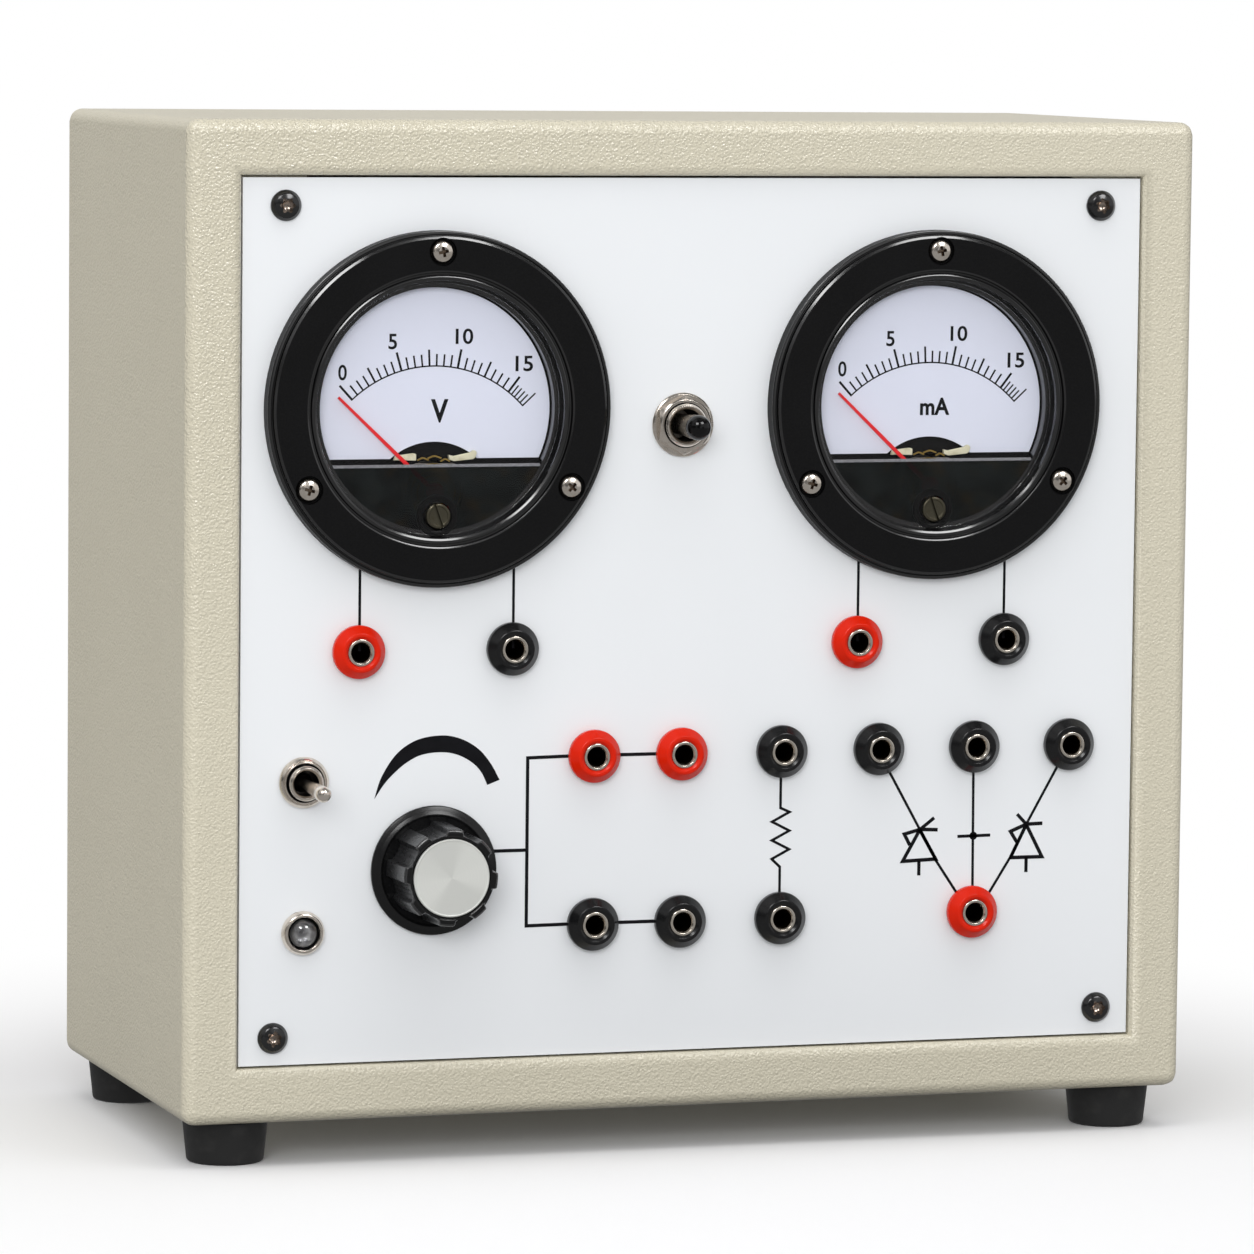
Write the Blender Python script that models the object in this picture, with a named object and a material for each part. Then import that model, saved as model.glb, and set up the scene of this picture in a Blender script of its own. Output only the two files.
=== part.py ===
"""Bench trainer for the zener diode: a covered wooden cabinet on four rubber feet, with a white front
panel that carries two round moving coil meters, fourteen test sockets, a lobed output knob, a toggle
switch, a push switch and an indicator lamp. The transformer and the regulator board stand on its floor.

Lengths are in metres. X runs to the right, Y runs into the case, Z runs up. The origin is on the ground,
under the middle of the part. On the panel, places are given as across (from the middle), up (from the
case's underside) and out (from the panel's face towards the user)."""

import math

import bmesh
import bpy

# Cabinet
CASE_WIDTH = 0.240
CASE_HEIGHT = 0.225
CASE_DEPTH = 0.116
BOARD = 0.0125
CASE_EDGE_RADIUS = 0.003
OPENING_EDGE_RADIUS = 0.0016
POST_SIDE = 0.016
FRONT_RECESS = 0.002
BACK_RECESS = 0.0025
EDGE_STEPS = 3

# Clearance between pieces that touch, clearance round a panel, and how far a cutter runs past its cut
GAP = 0.0003
PANEL_CLEARANCE = 0.0005
OVERRUN = 0.002

# Feet
FOOT_HEIGHT = 0.010
FOOT_TOP_RADIUS = 0.0097
FOOT_BASE_RADIUS = 0.0087
FOOT_EDGE = 0.0010
FOOT_SIDE_INSET = 0.013
FOOT_FRONT_INSET = 0.0135
FOOT_REAR_INSET = 0.0125

# Panels and their screws
PANEL_THICKNESS = 0.003
BACK_THICKNESS = 0.003
SCREW_HOLE_RADIUS = 0.0018
SCREW_UP_INSET = 0.0062
TOP_SCREW_INSET = 0.0098
BOTTOM_SCREW_INSET = 0.0078

# Places on the panel: across as a share of the panel's half width, up as a share of its height, and the
# spread of a meter's sockets as a share of the bezel's radius
VOLT_METER_ACROSS_SHARE = -0.58037
MILLIAMP_METER_ACROSS_SHARE = 0.5271
METER_UP_SHARE = 0.7402
METER_SOCKET_UP_SHARE = 0.46734
METER_SOCKET_SPREAD_SHARE = 0.45
UPPER_ROW_UP_SHARE = 0.34271
LOWER_ROW_UP_SHARE = 0.14975
OUTPUT_NEAR_ACROSS_SHARE = -0.22897
OUTPUT_FAR_ACROSS_SHARE = -0.03364
RESISTOR_ACROSS_SHARE = 0.19159
ZENER_ACROSS_SHARE = 0.63084
ZENER_SPREAD_SHARE = 0.21869
KNOB_UP_SHARE = 0.21709
SWITCH_COLUMN_INSET = 0.0146
TOGGLE_UP_SHARE = 0.3206
PUSH_ACROSS_SHARE = -0.03645
PUSH_UP_SHARE = 0.7196

# Meter: bezel, glass, chamber and rear can. The bezel's radius is a share of the panel's half width
METER_SHARE = 0.37383
FLANGE_THICKNESS = 0.005
FLANGE_WALL = 0.0026
FLANGE_BEVEL = 0.0019
FLANGE_BAND = 0.0094
GROOVE_DEPTH = 0.0010
RING_INSET = 0.0014
RING_HALF_WIDTH = 0.0005
GLASS_INSET = 0.0009
GLASS_THICKNESS = 0.0014
GLASS_DROP = 0.0017
SIGHT_INSET = 0.0009
CHAMBER_WALL = 0.0022
CAN_DEPTH = 0.0262
METER_SCREW_INSET = 0.0047
METER_SCREWS = 3
COUNTERBORE_RADIUS = 0.0032
COUNTERBORE_DEPTH = 0.0014

# Meter: dial, lower cover and zero adjuster. The shares are of the sight's radius
DIAL_THICKNESS = 0.0005
DIAL_EDGE_DROP_SHARE = 0.41241
CUTOUT_RADIUS_SHARE = 0.56569
CUTOUT_DROP_SHARE = 0.83942
COVER_THICKNESS = 0.0008
COVER_DROP_SHARE = 0.45985
COVER_CHAMFER = 0.0005
ZERO_EDGE = 0.00055
ZERO_RADIUS = 0.00285
ZERO_SINK = 0.0004
ZERO_SLOT_WIDTH = 0.0008
ZERO_SLOT_DEPTH = 0.0007

# Meter: movement and pointer. The shares are of the sight's radius
PIVOT_DROP_SHARE = 0.68613
NEEDLE_LENGTH_SHARE = 1.13869
NEEDLE_THICKNESS = 0.0005
NEEDLE_TIP_HALF = 0.00028
NEEDLE_ROOT_HALF = 0.00048
HUB_RADIUS = 0.0021
TAIL_LENGTH = 0.0058
TAIL_HALF = 0.0006
WEIGHT_LENGTH = 0.0016
WEIGHT_HALF = 0.0012
REST_ANGLE = math.radians(46.5)
BRIDGE_THICKNESS = 0.0005
BRIDGE_HALF_WIDTH_SHARE = 0.22628
TAB_INNER_SHARE = 0.15328
TAB_OUTER_SHARE = 0.35401
TAB_TOP_DROP_SHARE = 0.35036
TAB_HEIGHT = 0.0014
POCKET_RADIUS_SHARE = 0.27007
POCKET_DEPTH = 0.0080
POLE_CLEARANCE = 0.0006
POLE_THICKNESS = 0.0020
CORE_RADIUS_SHARE = 0.14599

# Sockets
SOCKET_RADIUS = 0.00605
SOCKET_WALL = 0.0029
SOCKET_FACE_RADIUS = 0.0042
SOCKET_HEIGHT = 0.0043
BARREL_RADIUS = 0.0046
BARREL_LENGTH = 0.013
SLEEVE_RADIUS = 0.0031
SLEEVE_BORE_RADIUS = 0.0021
SLEEVE_CHAMFER = 0.0003
SLEEVE_BORE_DEPTH = 0.0150
SLEEVE_REAR_PROUD = 0.0030

# Knob, its metal cap and the potentiometer
KNOB_HEIGHT = 0.0156
SKIRT_RADIUS = 0.0147
SKIRT_LIFT = 0.0007
SKIRT_EDGE = 0.0013
SKIRT_RIM_HEIGHT = 0.0026
SKIRT_DISH_DEPTH = 0.0007
SKIRT_RIM_INSET = 0.0018
DISH_WIDTH = 0.0010
GRIP_RADIUS = 0.0113
GRIP_TAPER = 0.0003
LOBES = 8
LOBE_SHARE = 0.42
FLANK_SHARE = 0.05
FLUTE_DEPTH = 0.0011
FLUTE_HOLLOW = 0.0003
FIRST_LOBE = math.radians(-5)
GRIP_CHAMFER = 0.0004
CAP_RADIUS = 0.0088
CAP_THICKNESS = 0.0008
SPINDLE_RADIUS = 0.003
KNOB_HOLLOW_RADIUS = 0.0080
KNOB_HOLLOW_DEPTH = 0.0060
KNOB_SOLID_FRONT = 0.0026
BUSHING_RADIUS = 0.0046
BUSHING_REACH = 0.0050
POT_NUT_RADIUS = 0.0065
POT_NUT_THICKNESS = 0.0022
POT_RADIUS = 0.0120
POT_DEPTH = 0.0095

# Toggle switch
TOGGLE_NUT_RADIUS = 0.0058
TOGGLE_NUT_THICKNESS = 0.0018
TOGGLE_NUT_BEVEL = 0.0008
TOGGLE_BUSHING_RADIUS = 0.0040
TOGGLE_BUSHING_REACH = 0.0036
TOGGLE_BORE_RADIUS = 0.0029
TOGGLE_BORE_DEPTH = 0.0045
TOGGLE_BODY_HALF_WIDTH = 0.0065
TOGGLE_BODY_HALF_HEIGHT = 0.0100
TOGGLE_BODY_DEPTH = 0.0150
LEVER_LENGTH = 0.0190
LEVER_ROOT_RADIUS = 0.00115
LEVER_TIP_RADIUS = 0.00168
LEVER_BALL_RADIUS = 0.0024
LEVER_PIVOT_DEPTH = 0.0015
LEVER_TILT = math.radians(7)

# Push switch
WASHER_RADIUS = 0.0073
WASHER_THICKNESS = 0.0006
HEX_HALF_FLATS = 0.0058
HEX_THICKNESS = 0.0019
PUSH_BUSHING_RADIUS = 0.0049
PUSH_BUSHING_REACH = 0.0040
PUSH_BORE_RADIUS = 0.0037
PUSH_BODY_RADIUS = 0.0070
PUSH_BODY_DEPTH = 0.0160
PLUNGER_RADIUS = 0.0029
PLUNGER_TIP_RADIUS = 0.00255
PLUNGER_SHOULDER = 0.0082
PLUNGER_REACH = 0.0146
PLUNGER_DEPTH = 0.0060
COLLAR_LENGTH = 0.0018
PUSH_TRAVEL = 0.003

# Indicator lamp
LAMP_BEZEL_RADIUS = 0.0050
LAMP_BEZEL_HEIGHT = 0.0021
LAMP_BARREL_RADIUS = 0.0041
LAMP_BARREL_LENGTH = 0.0100
LAMP_RIM_RADIUS = 0.0036
LENS_RADIUS = 0.0032
LENS_DOME = 0.0016
LENS_LENGTH = 0.0080

# Both chassis pieces: their middle from the back panel
CHASSIS_TO_BACK = 0.0395

# Transformer, with its side clearance as a share of the floor that it and the board leave free
STACK_WIDTH = 0.050
STACK_HEIGHT = 0.042
STACK_DEPTH = 0.018
COIL_WIDTH = 0.030
COIL_HEIGHT = 0.026
COIL_DEPTH = 0.032
BRACKET_WIDTH = 0.068
BRACKET_THICKNESS = 0.0015
BRACKET_DEPTH = 0.014
TRANSFORMER_SIDE_SHARE = 0.17442

# Regulator board, with its side clearance as a share of the same free floor
BOARD_PLATE_WIDTH = 0.072
BOARD_PLATE_DEPTH = 0.050
BOARD_PLATE_THICKNESS = 0.0016
PILLAR_HEIGHT = 0.006
PILLAR_RADIUS = 0.003
PILLAR_INSET = 0.005
CAPACITOR_RADIUS = 0.008
CAPACITOR_HEIGHT = 0.020
CAPACITOR_INSET = 0.014
HEATSINK_WIDTH = 0.024
HEATSINK_HEIGHT = 0.024
HEATSINK_THICKNESS = 0.002
HEATSINK_FIN = 0.008
REGULATOR_SIDE_SHARE = 0.24419

# Cord gland in the back panel
GLAND_SIDE_INSET = 0.037
GLAND_RISE = 0.017
GLAND_BORE_RADIUS = 0.0033
GLAND_NECK_RADIUS = 0.0052
GLAND_FLANGE_RADIUS = 0.0074
GLAND_FLANGE_THICKNESS = 0.0018
GLAND_INNER_RADIUS = 0.0066

# Numbers of sides
BEZEL_SIDES = 32
SIDES = 20
SOCKET_SIDES = 14
SLEEVE_SIDES = 12
HOLE_SIDES = 12
DOME_STEPS = 3

# Places that follow from the sizes above
lever_reach = (LEVER_LENGTH + LEVER_TIP_RADIUS) * math.cos(LEVER_TILT) - LEVER_PIVOT_DEPTH
front_reach = lever_reach - FRONT_RECESS
case_front = (front_reach - CASE_DEPTH) / 2
case_back = case_front + CASE_DEPTH
case_top = FOOT_HEIGHT + CASE_HEIGHT
panel_face = case_front + FRONT_RECESS
panel_rear = panel_face + PANEL_THICKNESS
back_face = case_back - BACK_RECESS
back_inside = back_face - BACK_THICKNESS
inner_half_width = CASE_WIDTH / 2 - BOARD
inner_half_height = CASE_HEIGHT / 2 - BOARD
inner_floor = FOOT_HEIGHT + BOARD
panel_half_width = inner_half_width - PANEL_CLEARANCE
panel_low = BOARD + PANEL_CLEARANCE
panel_high = CASE_HEIGHT - panel_low
panel_height = panel_high - panel_low
volt_meter_across = panel_half_width * VOLT_METER_ACROSS_SHARE
milliamp_meter_across = panel_half_width * MILLIAMP_METER_ACROSS_SHARE
output_near_across = panel_half_width * OUTPUT_NEAR_ACROSS_SHARE
output_far_across = panel_half_width * OUTPUT_FAR_ACROSS_SHARE
resistor_across = panel_half_width * RESISTOR_ACROSS_SHARE
zener_across = panel_half_width * ZENER_ACROSS_SHARE
zener_spread = panel_half_width * ZENER_SPREAD_SHARE
push_across = panel_half_width * PUSH_ACROSS_SHARE
knob_across = volt_meter_across
switch_column_across = SWITCH_COLUMN_INSET - panel_half_width
meter_up = panel_low + panel_height * METER_UP_SHARE
meter_socket_up = panel_low + panel_height * METER_SOCKET_UP_SHARE
upper_row_up = panel_low + panel_height * UPPER_ROW_UP_SHARE
lower_row_up = panel_low + panel_height * LOWER_ROW_UP_SHARE
knob_up = panel_low + panel_height * KNOB_UP_SHARE
toggle_up = panel_low + panel_height * TOGGLE_UP_SHARE
push_up = panel_low + panel_height * PUSH_UP_SHARE
gland_across = GLAND_SIDE_INSET - panel_half_width
gland_up = panel_low + GLAND_RISE

# Transformer and regulator board on the floor, each beside its corner post
free_floor = 2 * (inner_half_width - POST_SIDE) - BRACKET_WIDTH - BOARD_PLATE_WIDTH
transformer_side = inner_half_width - POST_SIDE - free_floor * TRANSFORMER_SIDE_SHARE
transformer_across = BRACKET_WIDTH / 2 - transformer_side
regulator_side = inner_half_width - POST_SIDE - free_floor * REGULATOR_SIDE_SHARE
regulator_across = regulator_side - BOARD_PLATE_WIDTH / 2
chassis_depth = back_inside - CHASSIS_TO_BACK

# Radii of a meter, from the bezel's edge inwards, and what lies inside the sight
flange_radius = panel_half_width * METER_SHARE
meter_socket_spread = flange_radius * METER_SOCKET_SPREAD_SHARE
meter_screw_circle = flange_radius - METER_SCREW_INSET
groove_radius = flange_radius - FLANGE_BAND
ring_radius = groove_radius - RING_INSET
glass_radius = ring_radius - GLASS_INSET
sight_radius = glass_radius - SIGHT_INSET
can_radius = sight_radius + GAP
dial_edge_drop = sight_radius * DIAL_EDGE_DROP_SHARE
cutout_radius = sight_radius * CUTOUT_RADIUS_SHARE
cutout_drop = sight_radius * CUTOUT_DROP_SHARE
cover_drop = sight_radius * COVER_DROP_SHARE
zero_drop = sight_radius - ZERO_RADIUS - ZERO_EDGE
pivot_drop = sight_radius * PIVOT_DROP_SHARE
needle_length = sight_radius * NEEDLE_LENGTH_SHARE
bridge_half_width = sight_radius * BRIDGE_HALF_WIDTH_SHARE
tab_inner = sight_radius * TAB_INNER_SHARE
tab_outer = sight_radius * TAB_OUTER_SHARE
tab_top_drop = sight_radius * TAB_TOP_DROP_SHARE
pocket_radius = sight_radius * POCKET_RADIUS_SHARE
pole_radius = pocket_radius - POLE_CLEARANCE
core_radius = sight_radius * CORE_RADIUS_SHARE

# Depths inside a meter, counted out from the panel's face
glass_front = FLANGE_THICKNESS - GLASS_DROP
glass_back = glass_front - GLASS_THICKNESS
glass_seat = glass_back - GAP
cover_front = glass_seat - GAP
cover_back = cover_front - COVER_THICKNESS
needle_front = cover_back - GAP
needle_back = needle_front - NEEDLE_THICKNESS
bridge_front = needle_back - GAP
bridge_back = bridge_front - BRIDGE_THICKNESS
dial_front = bridge_back - GAP
dial_back = dial_front - DIAL_THICKNESS
dial_seat = dial_back - GAP
chamber_outer_radius = sight_radius + CHAMBER_WALL
can_rear = dial_seat - CAN_DEPTH
pocket_floor = dial_seat - POCKET_DEPTH


def clear_scene():
    for old in list(bpy.data.objects):
        bpy.data.objects.remove(old)


def finish(name, colour, roughness, metallic=0.0, alpha=1.0):
    """One Principled material."""
    made = bpy.data.materials.new(name)
    made.use_nodes = True
    shader = made.node_tree.nodes["Principled BSDF"]
    shader.inputs["Base Color"].default_value = (*colour, 1.0)
    shader.inputs["Roughness"].default_value = roughness
    shader.inputs["Metallic"].default_value = metallic
    shader.inputs["Alpha"].default_value = alpha
    made.diffuse_color = (*colour, alpha)
    return made


def frame(name, parent=None, place=(0, 0, 0), turn=(0, 0, 0)):
    """An empty that carries the pieces placed in its own directions."""
    carrier = bpy.data.objects.new(name, None)
    bpy.context.scene.collection.objects.link(carrier)
    carrier.parent = parent
    carrier.location = place
    carrier.rotation_euler = turn
    return carrier


def piece(name, shape, material, parent=None, place=(0, 0, 0), turn=(0, 0, 0)):
    """Turns a bmesh into a named object, with its faces pointing out."""
    bmesh.ops.recalc_face_normals(shape, faces=shape.faces)
    mesh = bpy.data.meshes.new(name)
    shape.to_mesh(mesh)
    shape.free()
    mesh.shade_smooth()
    mesh.set_sharp_from_angle(angle=math.radians(35))
    made = bpy.data.objects.new(name, mesh)
    bpy.context.scene.collection.objects.link(made)
    made.parent = parent
    made.location = place
    made.rotation_euler = turn
    if material:
        mesh.materials.append(material)
    return made


def combine(target, shape, operation):
    """Cuts a shape out of the target or joins it on. The shape is given in the target's own directions."""
    tool = piece(target.name + "_" + operation.lower(), shape, None, target)
    tool.hide_render = True
    tool.display_type = "WIRE"
    modifier = target.modifiers.new(operation.title(), "BOOLEAN")
    modifier.operation = operation
    modifier.solver = "EXACT"
    modifier.object = tool


def even_sides(count):
    """Angles round a plain circle, none of them drawn in."""
    return [(2 * math.pi * index / count, 0) for index in range(count)]


def lobed_sides():
    """Angles round the grip and how far in each lies: two on a lobe's crest and three in its flute."""
    pitch = 2 * math.pi / LOBES
    crest = pitch * LOBE_SHARE / 2
    flank = pitch * FLANK_SHARE
    hollow = FLUTE_DEPTH + FLUTE_HOLLOW
    sides = []
    for lobe in range(LOBES):
        middle = FIRST_LOBE + pitch * lobe
        sides += [(middle - crest, 0), (middle + crest, 0)]
        sides.append((middle + crest + flank, FLUTE_DEPTH))
        sides.append((middle + pitch / 2, hollow))
        sides.append((middle + pitch - crest - flank, FLUTE_DEPTH))
    return sides


def turned(profile, sides=SIDES, shape=None, centre=(0, 0)):
    """A turned solid round the Z axis. The profile lists (radius, level), with a third value, True, on a
    fluted ring. One that starts and ends on the axis gives a plug, and any other closes into a ring."""
    shape = shape or bmesh.new()
    spokes = even_sides(sides) if isinstance(sides, int) else sides
    rings = []
    for radius, level, *fluted in profile:
        ring = []
        for angle, drawn in spokes if radius else spokes[:1]:
            reach = radius - drawn if fluted else radius
            place = (centre[0] + reach * math.cos(angle), centre[1] + reach * math.sin(angle), level)
            ring.append(shape.verts.new(place))
        rings.append(ring)
    pairs = list(zip(rings, rings[1:]))
    if profile[0][0] > 0:
        pairs.append((rings[-1], rings[0]))
    for first, second in pairs:
        for index in range(len(spokes)):
            follow = (index + 1) % len(spokes)
            corners = [first[index % len(first)], first[follow % len(first)]]
            corners += [second[follow % len(second)], second[index % len(second)]]
            shape.faces.new(list(dict.fromkeys(corners)))
    return shape


def prism(outline, low, high, shape=None):
    """A flat outline in X and Y drawn up from one level to another."""
    shape = shape or bmesh.new()
    bottom = [shape.verts.new((x, y, low)) for x, y in outline]
    top = [shape.verts.new((x, y, high)) for x, y in outline]
    shape.faces.new(bottom)
    shape.faces.new(list(reversed(top)))
    for index, corner in enumerate(bottom):
        follow = (index + 1) % len(bottom)
        shape.faces.new([corner, top[index], top[follow], bottom[follow]])
    return shape


def block(low, high, shape=None):
    """A box between two corners."""
    outline = [(low[0], low[1]), (high[0], low[1]), (high[0], high[1]), (low[0], high[1])]
    return prism(outline, low[2], high[2], shape)


def rectangle_loft(sections, middle):
    """A closed solid through rectangles that stand across Y, each (depth, half width, half height)."""
    shape = bmesh.new()
    loops = []
    for depth, half_width, half_height in sections:
        corners = [(-1, -1), (1, -1), (1, 1), (-1, 1)]
        points = [(x * half_width, depth, middle + z * half_height) for x, z in corners]
        loops.append([shape.verts.new(point) for point in points])
    for first, second in zip(loops, loops[1:]):
        for index in range(4):
            follow = (index + 1) % 4
            shape.faces.new([first[index], first[follow], second[follow], second[index]])
    shape.faces.new(loops[0])
    shape.faces.new(list(reversed(loops[-1])))
    return shape


def arc(radius, start, end, steps, centre=(0, 0)):
    """Points on an arc in X and Y, both ends included."""
    points = []
    for index in range(steps + 1):
        angle = start + (end - start) * index / steps
        points.append((centre[0] + radius * math.cos(angle), centre[1] + radius * math.sin(angle)))
    return points


def dome(radius, base, rise, steps=DOME_STEPS):
    """Profile of a dome, from its rim to its top on the axis."""
    points = []
    for index in range(steps):
        angle = math.pi / 2 * index / steps
        points.append((radius * math.cos(angle), base + rise * math.sin(angle)))
    return points + [(0, base + rise)]


def hexagon(half_flats):
    corner = half_flats / math.cos(math.pi / 6)
    return arc(corner, math.pi / 2, math.pi / 2 + 5 * math.pi / 3, 5)


def make_cabinet(materials):
    """The covered board box with a glued post in each corner, which takes the panel screws."""
    half = CASE_WIDTH / 2
    shell = block((-half, case_front, FOOT_HEIGHT), (half, case_back, case_top))
    bmesh.ops.bevel(
        shell,
        geom=list(shell.edges),
        offset=CASE_EDGE_RADIUS,
        segments=EDGE_STEPS,
        profile=0.5,
        affect="EDGES",
    )
    cabinet = piece("cabinet", shell, materials["covering"])
    middle = FOOT_HEIGHT + CASE_HEIGHT / 2
    sections = [(case_front - OVERRUN, OPENING_EDGE_RADIUS)]
    for step in range(EDGE_STEPS + 1):
        angle = math.pi / 2 * step / EDGE_STEPS
        depth = case_front + OPENING_EDGE_RADIUS * (1 - math.cos(angle))
        sections.append((depth, OPENING_EDGE_RADIUS * (1 - math.sin(angle))))
    sections.append((case_back + OVERRUN, 0))
    opening = [(depth, inner_half_width + more, inner_half_height + more) for depth, more in sections]
    combine(cabinet, rectangle_loft(opening, middle), "DIFFERENCE")
    posts = bmesh.new()
    for side in (-1, 1):
        for level in (-1, 1):
            across = [side * (inner_half_width - POST_SIDE), side * (inner_half_width + BOARD / 2)]
            up = [level * (inner_half_height - POST_SIDE), level * (inner_half_height + BOARD / 2)]
            low = (min(across), panel_rear + GAP, middle + min(up))
            high = (max(across), back_inside - GAP, middle + max(up))
            block(low, high, posts)
    combine(cabinet, posts, "UNION")


def corner_screw_places():
    """Where the four screws go through a panel, as (across, up)."""
    low = panel_low + SCREW_UP_INSET
    high = panel_high - SCREW_UP_INSET
    top = panel_half_width - TOP_SCREW_INSET
    bottom = panel_half_width - BOTTOM_SCREW_INSET
    return [(-top, high), (top, high), (-bottom, low), (bottom, low)]


def socket_places():
    """Name, colour, across and up of each socket."""
    places = []
    for name, across in (("volt", volt_meter_across), ("milliamp", milliamp_meter_across)):
        places.append((name + "_positive", "red", across - meter_socket_spread, meter_socket_up))
        places.append((name + "_negative", "black", across + meter_socket_spread, meter_socket_up))
    for name, across in (("near", output_near_across), ("far", output_far_across)):
        places.append(("output_positive_" + name, "red", across, upper_row_up))
        places.append(("output_negative_" + name, "black", across, lower_row_up))
    places.append(("resistor_upper", "black", resistor_across, upper_row_up))
    places.append(("resistor_lower", "black", resistor_across, lower_row_up))
    for name, side in (("left", -1), ("middle", 0), ("right", 1)):
        across = zener_across + side * zener_spread
        places.append(("zener_" + name, "black", across, upper_row_up))
    places.append(("zener_common", "red", zener_across, lower_row_up))
    return places


def panel_holes():
    """Across, up, radius and sides of every hole in the front panel."""
    holes = []
    for across in (volt_meter_across, milliamp_meter_across):
        holes.append((across, meter_up, chamber_outer_radius + GAP, BEZEL_SIDES))
    for _, _, across, up in socket_places():
        holes.append((across, up, BARREL_RADIUS + GAP, HOLE_SIDES))
    for across, up in corner_screw_places():
        holes.append((across, up, SCREW_HOLE_RADIUS, HOLE_SIDES))
    holes.append((knob_across, knob_up, BUSHING_RADIUS + GAP, HOLE_SIDES))
    holes.append((switch_column_across, toggle_up, TOGGLE_BUSHING_RADIUS + GAP, HOLE_SIDES))
    holes.append((switch_column_across, lower_row_up, LAMP_BARREL_RADIUS + GAP, HOLE_SIDES))
    holes.append((push_across, push_up, PUSH_BUSHING_RADIUS + GAP, HOLE_SIDES))
    return holes


def make_front_panel(materials, panel):
    low = (-panel_half_width, panel_low, -PANEL_THICKNESS)
    plate = block(low, (panel_half_width, panel_high, 0))
    front_panel = piece("front_panel", plate, materials["panel_white"], panel)
    holes = bmesh.new()
    for across, up, radius, sides in panel_holes():
        profile = [(0, -PANEL_THICKNESS - OVERRUN), (radius, -PANEL_THICKNESS - OVERRUN)]
        profile += [(radius, OVERRUN), (0, OVERRUN)]
        turned(profile, sides, shape=holes, centre=(across, up))
    combine(front_panel, holes, "DIFFERENCE")


def make_back_panel(materials, back):
    """A plain board with its screw holes and the hole for the gland."""
    low = (-panel_half_width, panel_low, -BACK_THICKNESS)
    plate = block(low, (panel_half_width, panel_high, 0))
    back_panel = piece("back_panel", plate, materials["back_board"], back)
    places = [(across, up, SCREW_HOLE_RADIUS) for across, up in corner_screw_places()]
    places.append((gland_across, gland_up, GLAND_NECK_RADIUS + GAP))
    holes = bmesh.new()
    for across, up, radius in places:
        profile = [(0, -BACK_THICKNESS - OVERRUN), (radius, -BACK_THICKNESS - OVERRUN)]
        profile += [(radius, OVERRUN), (0, OVERRUN)]
        turned(profile, HOLE_SIDES, shape=holes, centre=(across, up))
    combine(back_panel, holes, "DIFFERENCE")


def make_gland(materials, back):
    """A rubber bush with a flange on each side of the board."""
    inside = -BACK_THICKNESS - GAP
    profile = [
        (GLAND_BORE_RADIUS, inside - GLAND_FLANGE_THICKNESS),
        (GLAND_INNER_RADIUS, inside - GLAND_FLANGE_THICKNESS),
        (GLAND_INNER_RADIUS, inside),
        (GLAND_NECK_RADIUS, inside),
        (GLAND_NECK_RADIUS, GAP),
        (GLAND_FLANGE_RADIUS, GAP),
        (GLAND_FLANGE_RADIUS, GLAND_FLANGE_THICKNESS / 2),
        (GLAND_NECK_RADIUS, GLAND_FLANGE_THICKNESS),
        (GLAND_BORE_RADIUS, GLAND_FLANGE_THICKNESS),
    ]
    place = (gland_across, gland_up, 0)
    piece("cord_gland", turned(profile, SIDES), materials["rubber"], back, place)


def make_feet(materials):
    profile = [
        (0, 0),
        (FOOT_BASE_RADIUS - FOOT_EDGE, 0),
        (FOOT_BASE_RADIUS, FOOT_EDGE),
        (FOOT_TOP_RADIUS, FOOT_HEIGHT - GAP),
        (0, FOOT_HEIGHT - GAP),
    ]
    across = CASE_WIDTH / 2 - FOOT_SIDE_INSET
    rows = (("front", case_front + FOOT_FRONT_INSET), ("rear", case_back - FOOT_REAR_INSET))
    for row, depth in rows:
        for side, place in (("left", -across), ("right", across)):
            name = "foot_" + row + "_" + side
            piece(name, turned(profile, SIDES), materials["rubber"], None, (place, depth, 0))


def housing_profile():
    """Section of the meter's moulding, from the can's back out to the bezel and in to the dial's seat."""
    groove_floor = FLANGE_THICKNESS - GROOVE_DEPTH
    ring_top = (groove_floor + FLANGE_THICKNESS) / 2
    return [
        (0, can_rear),
        (can_radius, can_rear),
        (can_radius, dial_seat - CHAMBER_WALL),
        (chamber_outer_radius, dial_seat - CHAMBER_WALL),
        (chamber_outer_radius, GAP),
        (flange_radius, GAP),
        (flange_radius, FLANGE_WALL),
        (flange_radius - FLANGE_BEVEL, FLANGE_THICKNESS),
        (groove_radius, FLANGE_THICKNESS),
        (groove_radius, groove_floor),
        (ring_radius + RING_HALF_WIDTH, groove_floor),
        (ring_radius, ring_top),
        (glass_radius + GAP, groove_floor),
        (glass_radius + GAP, glass_seat),
        (sight_radius, glass_seat),
        (sight_radius, dial_seat),
        (0, dial_seat),
    ]


def lower_cover():
    """The plate over the movement, chamfered along its upper edge. It runs into the chamber's wall."""
    reach = sight_radius + CHAMBER_WALL / 2
    shape = bmesh.new()
    loops = []
    for level, drop in (
        (cover_back, cover_drop),
        (cover_front - COVER_CHAMFER, cover_drop),
        (cover_front, cover_drop + COVER_CHAMFER),
    ):
        angle = math.asin(drop / reach)
        points = arc(reach, math.pi + angle, 2 * math.pi - angle, SIDES)
        loops.append([shape.verts.new((x, y, level)) for x, y in points])
    for first, second in zip(loops, loops[1:]):
        for index, corner in enumerate(first):
            follow = (index + 1) % len(first)
            shape.faces.new([corner, first[follow], second[follow], second[index]])
    shape.faces.new(loops[0])
    shape.faces.new(list(reversed(loops[-1])))
    return shape


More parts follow.
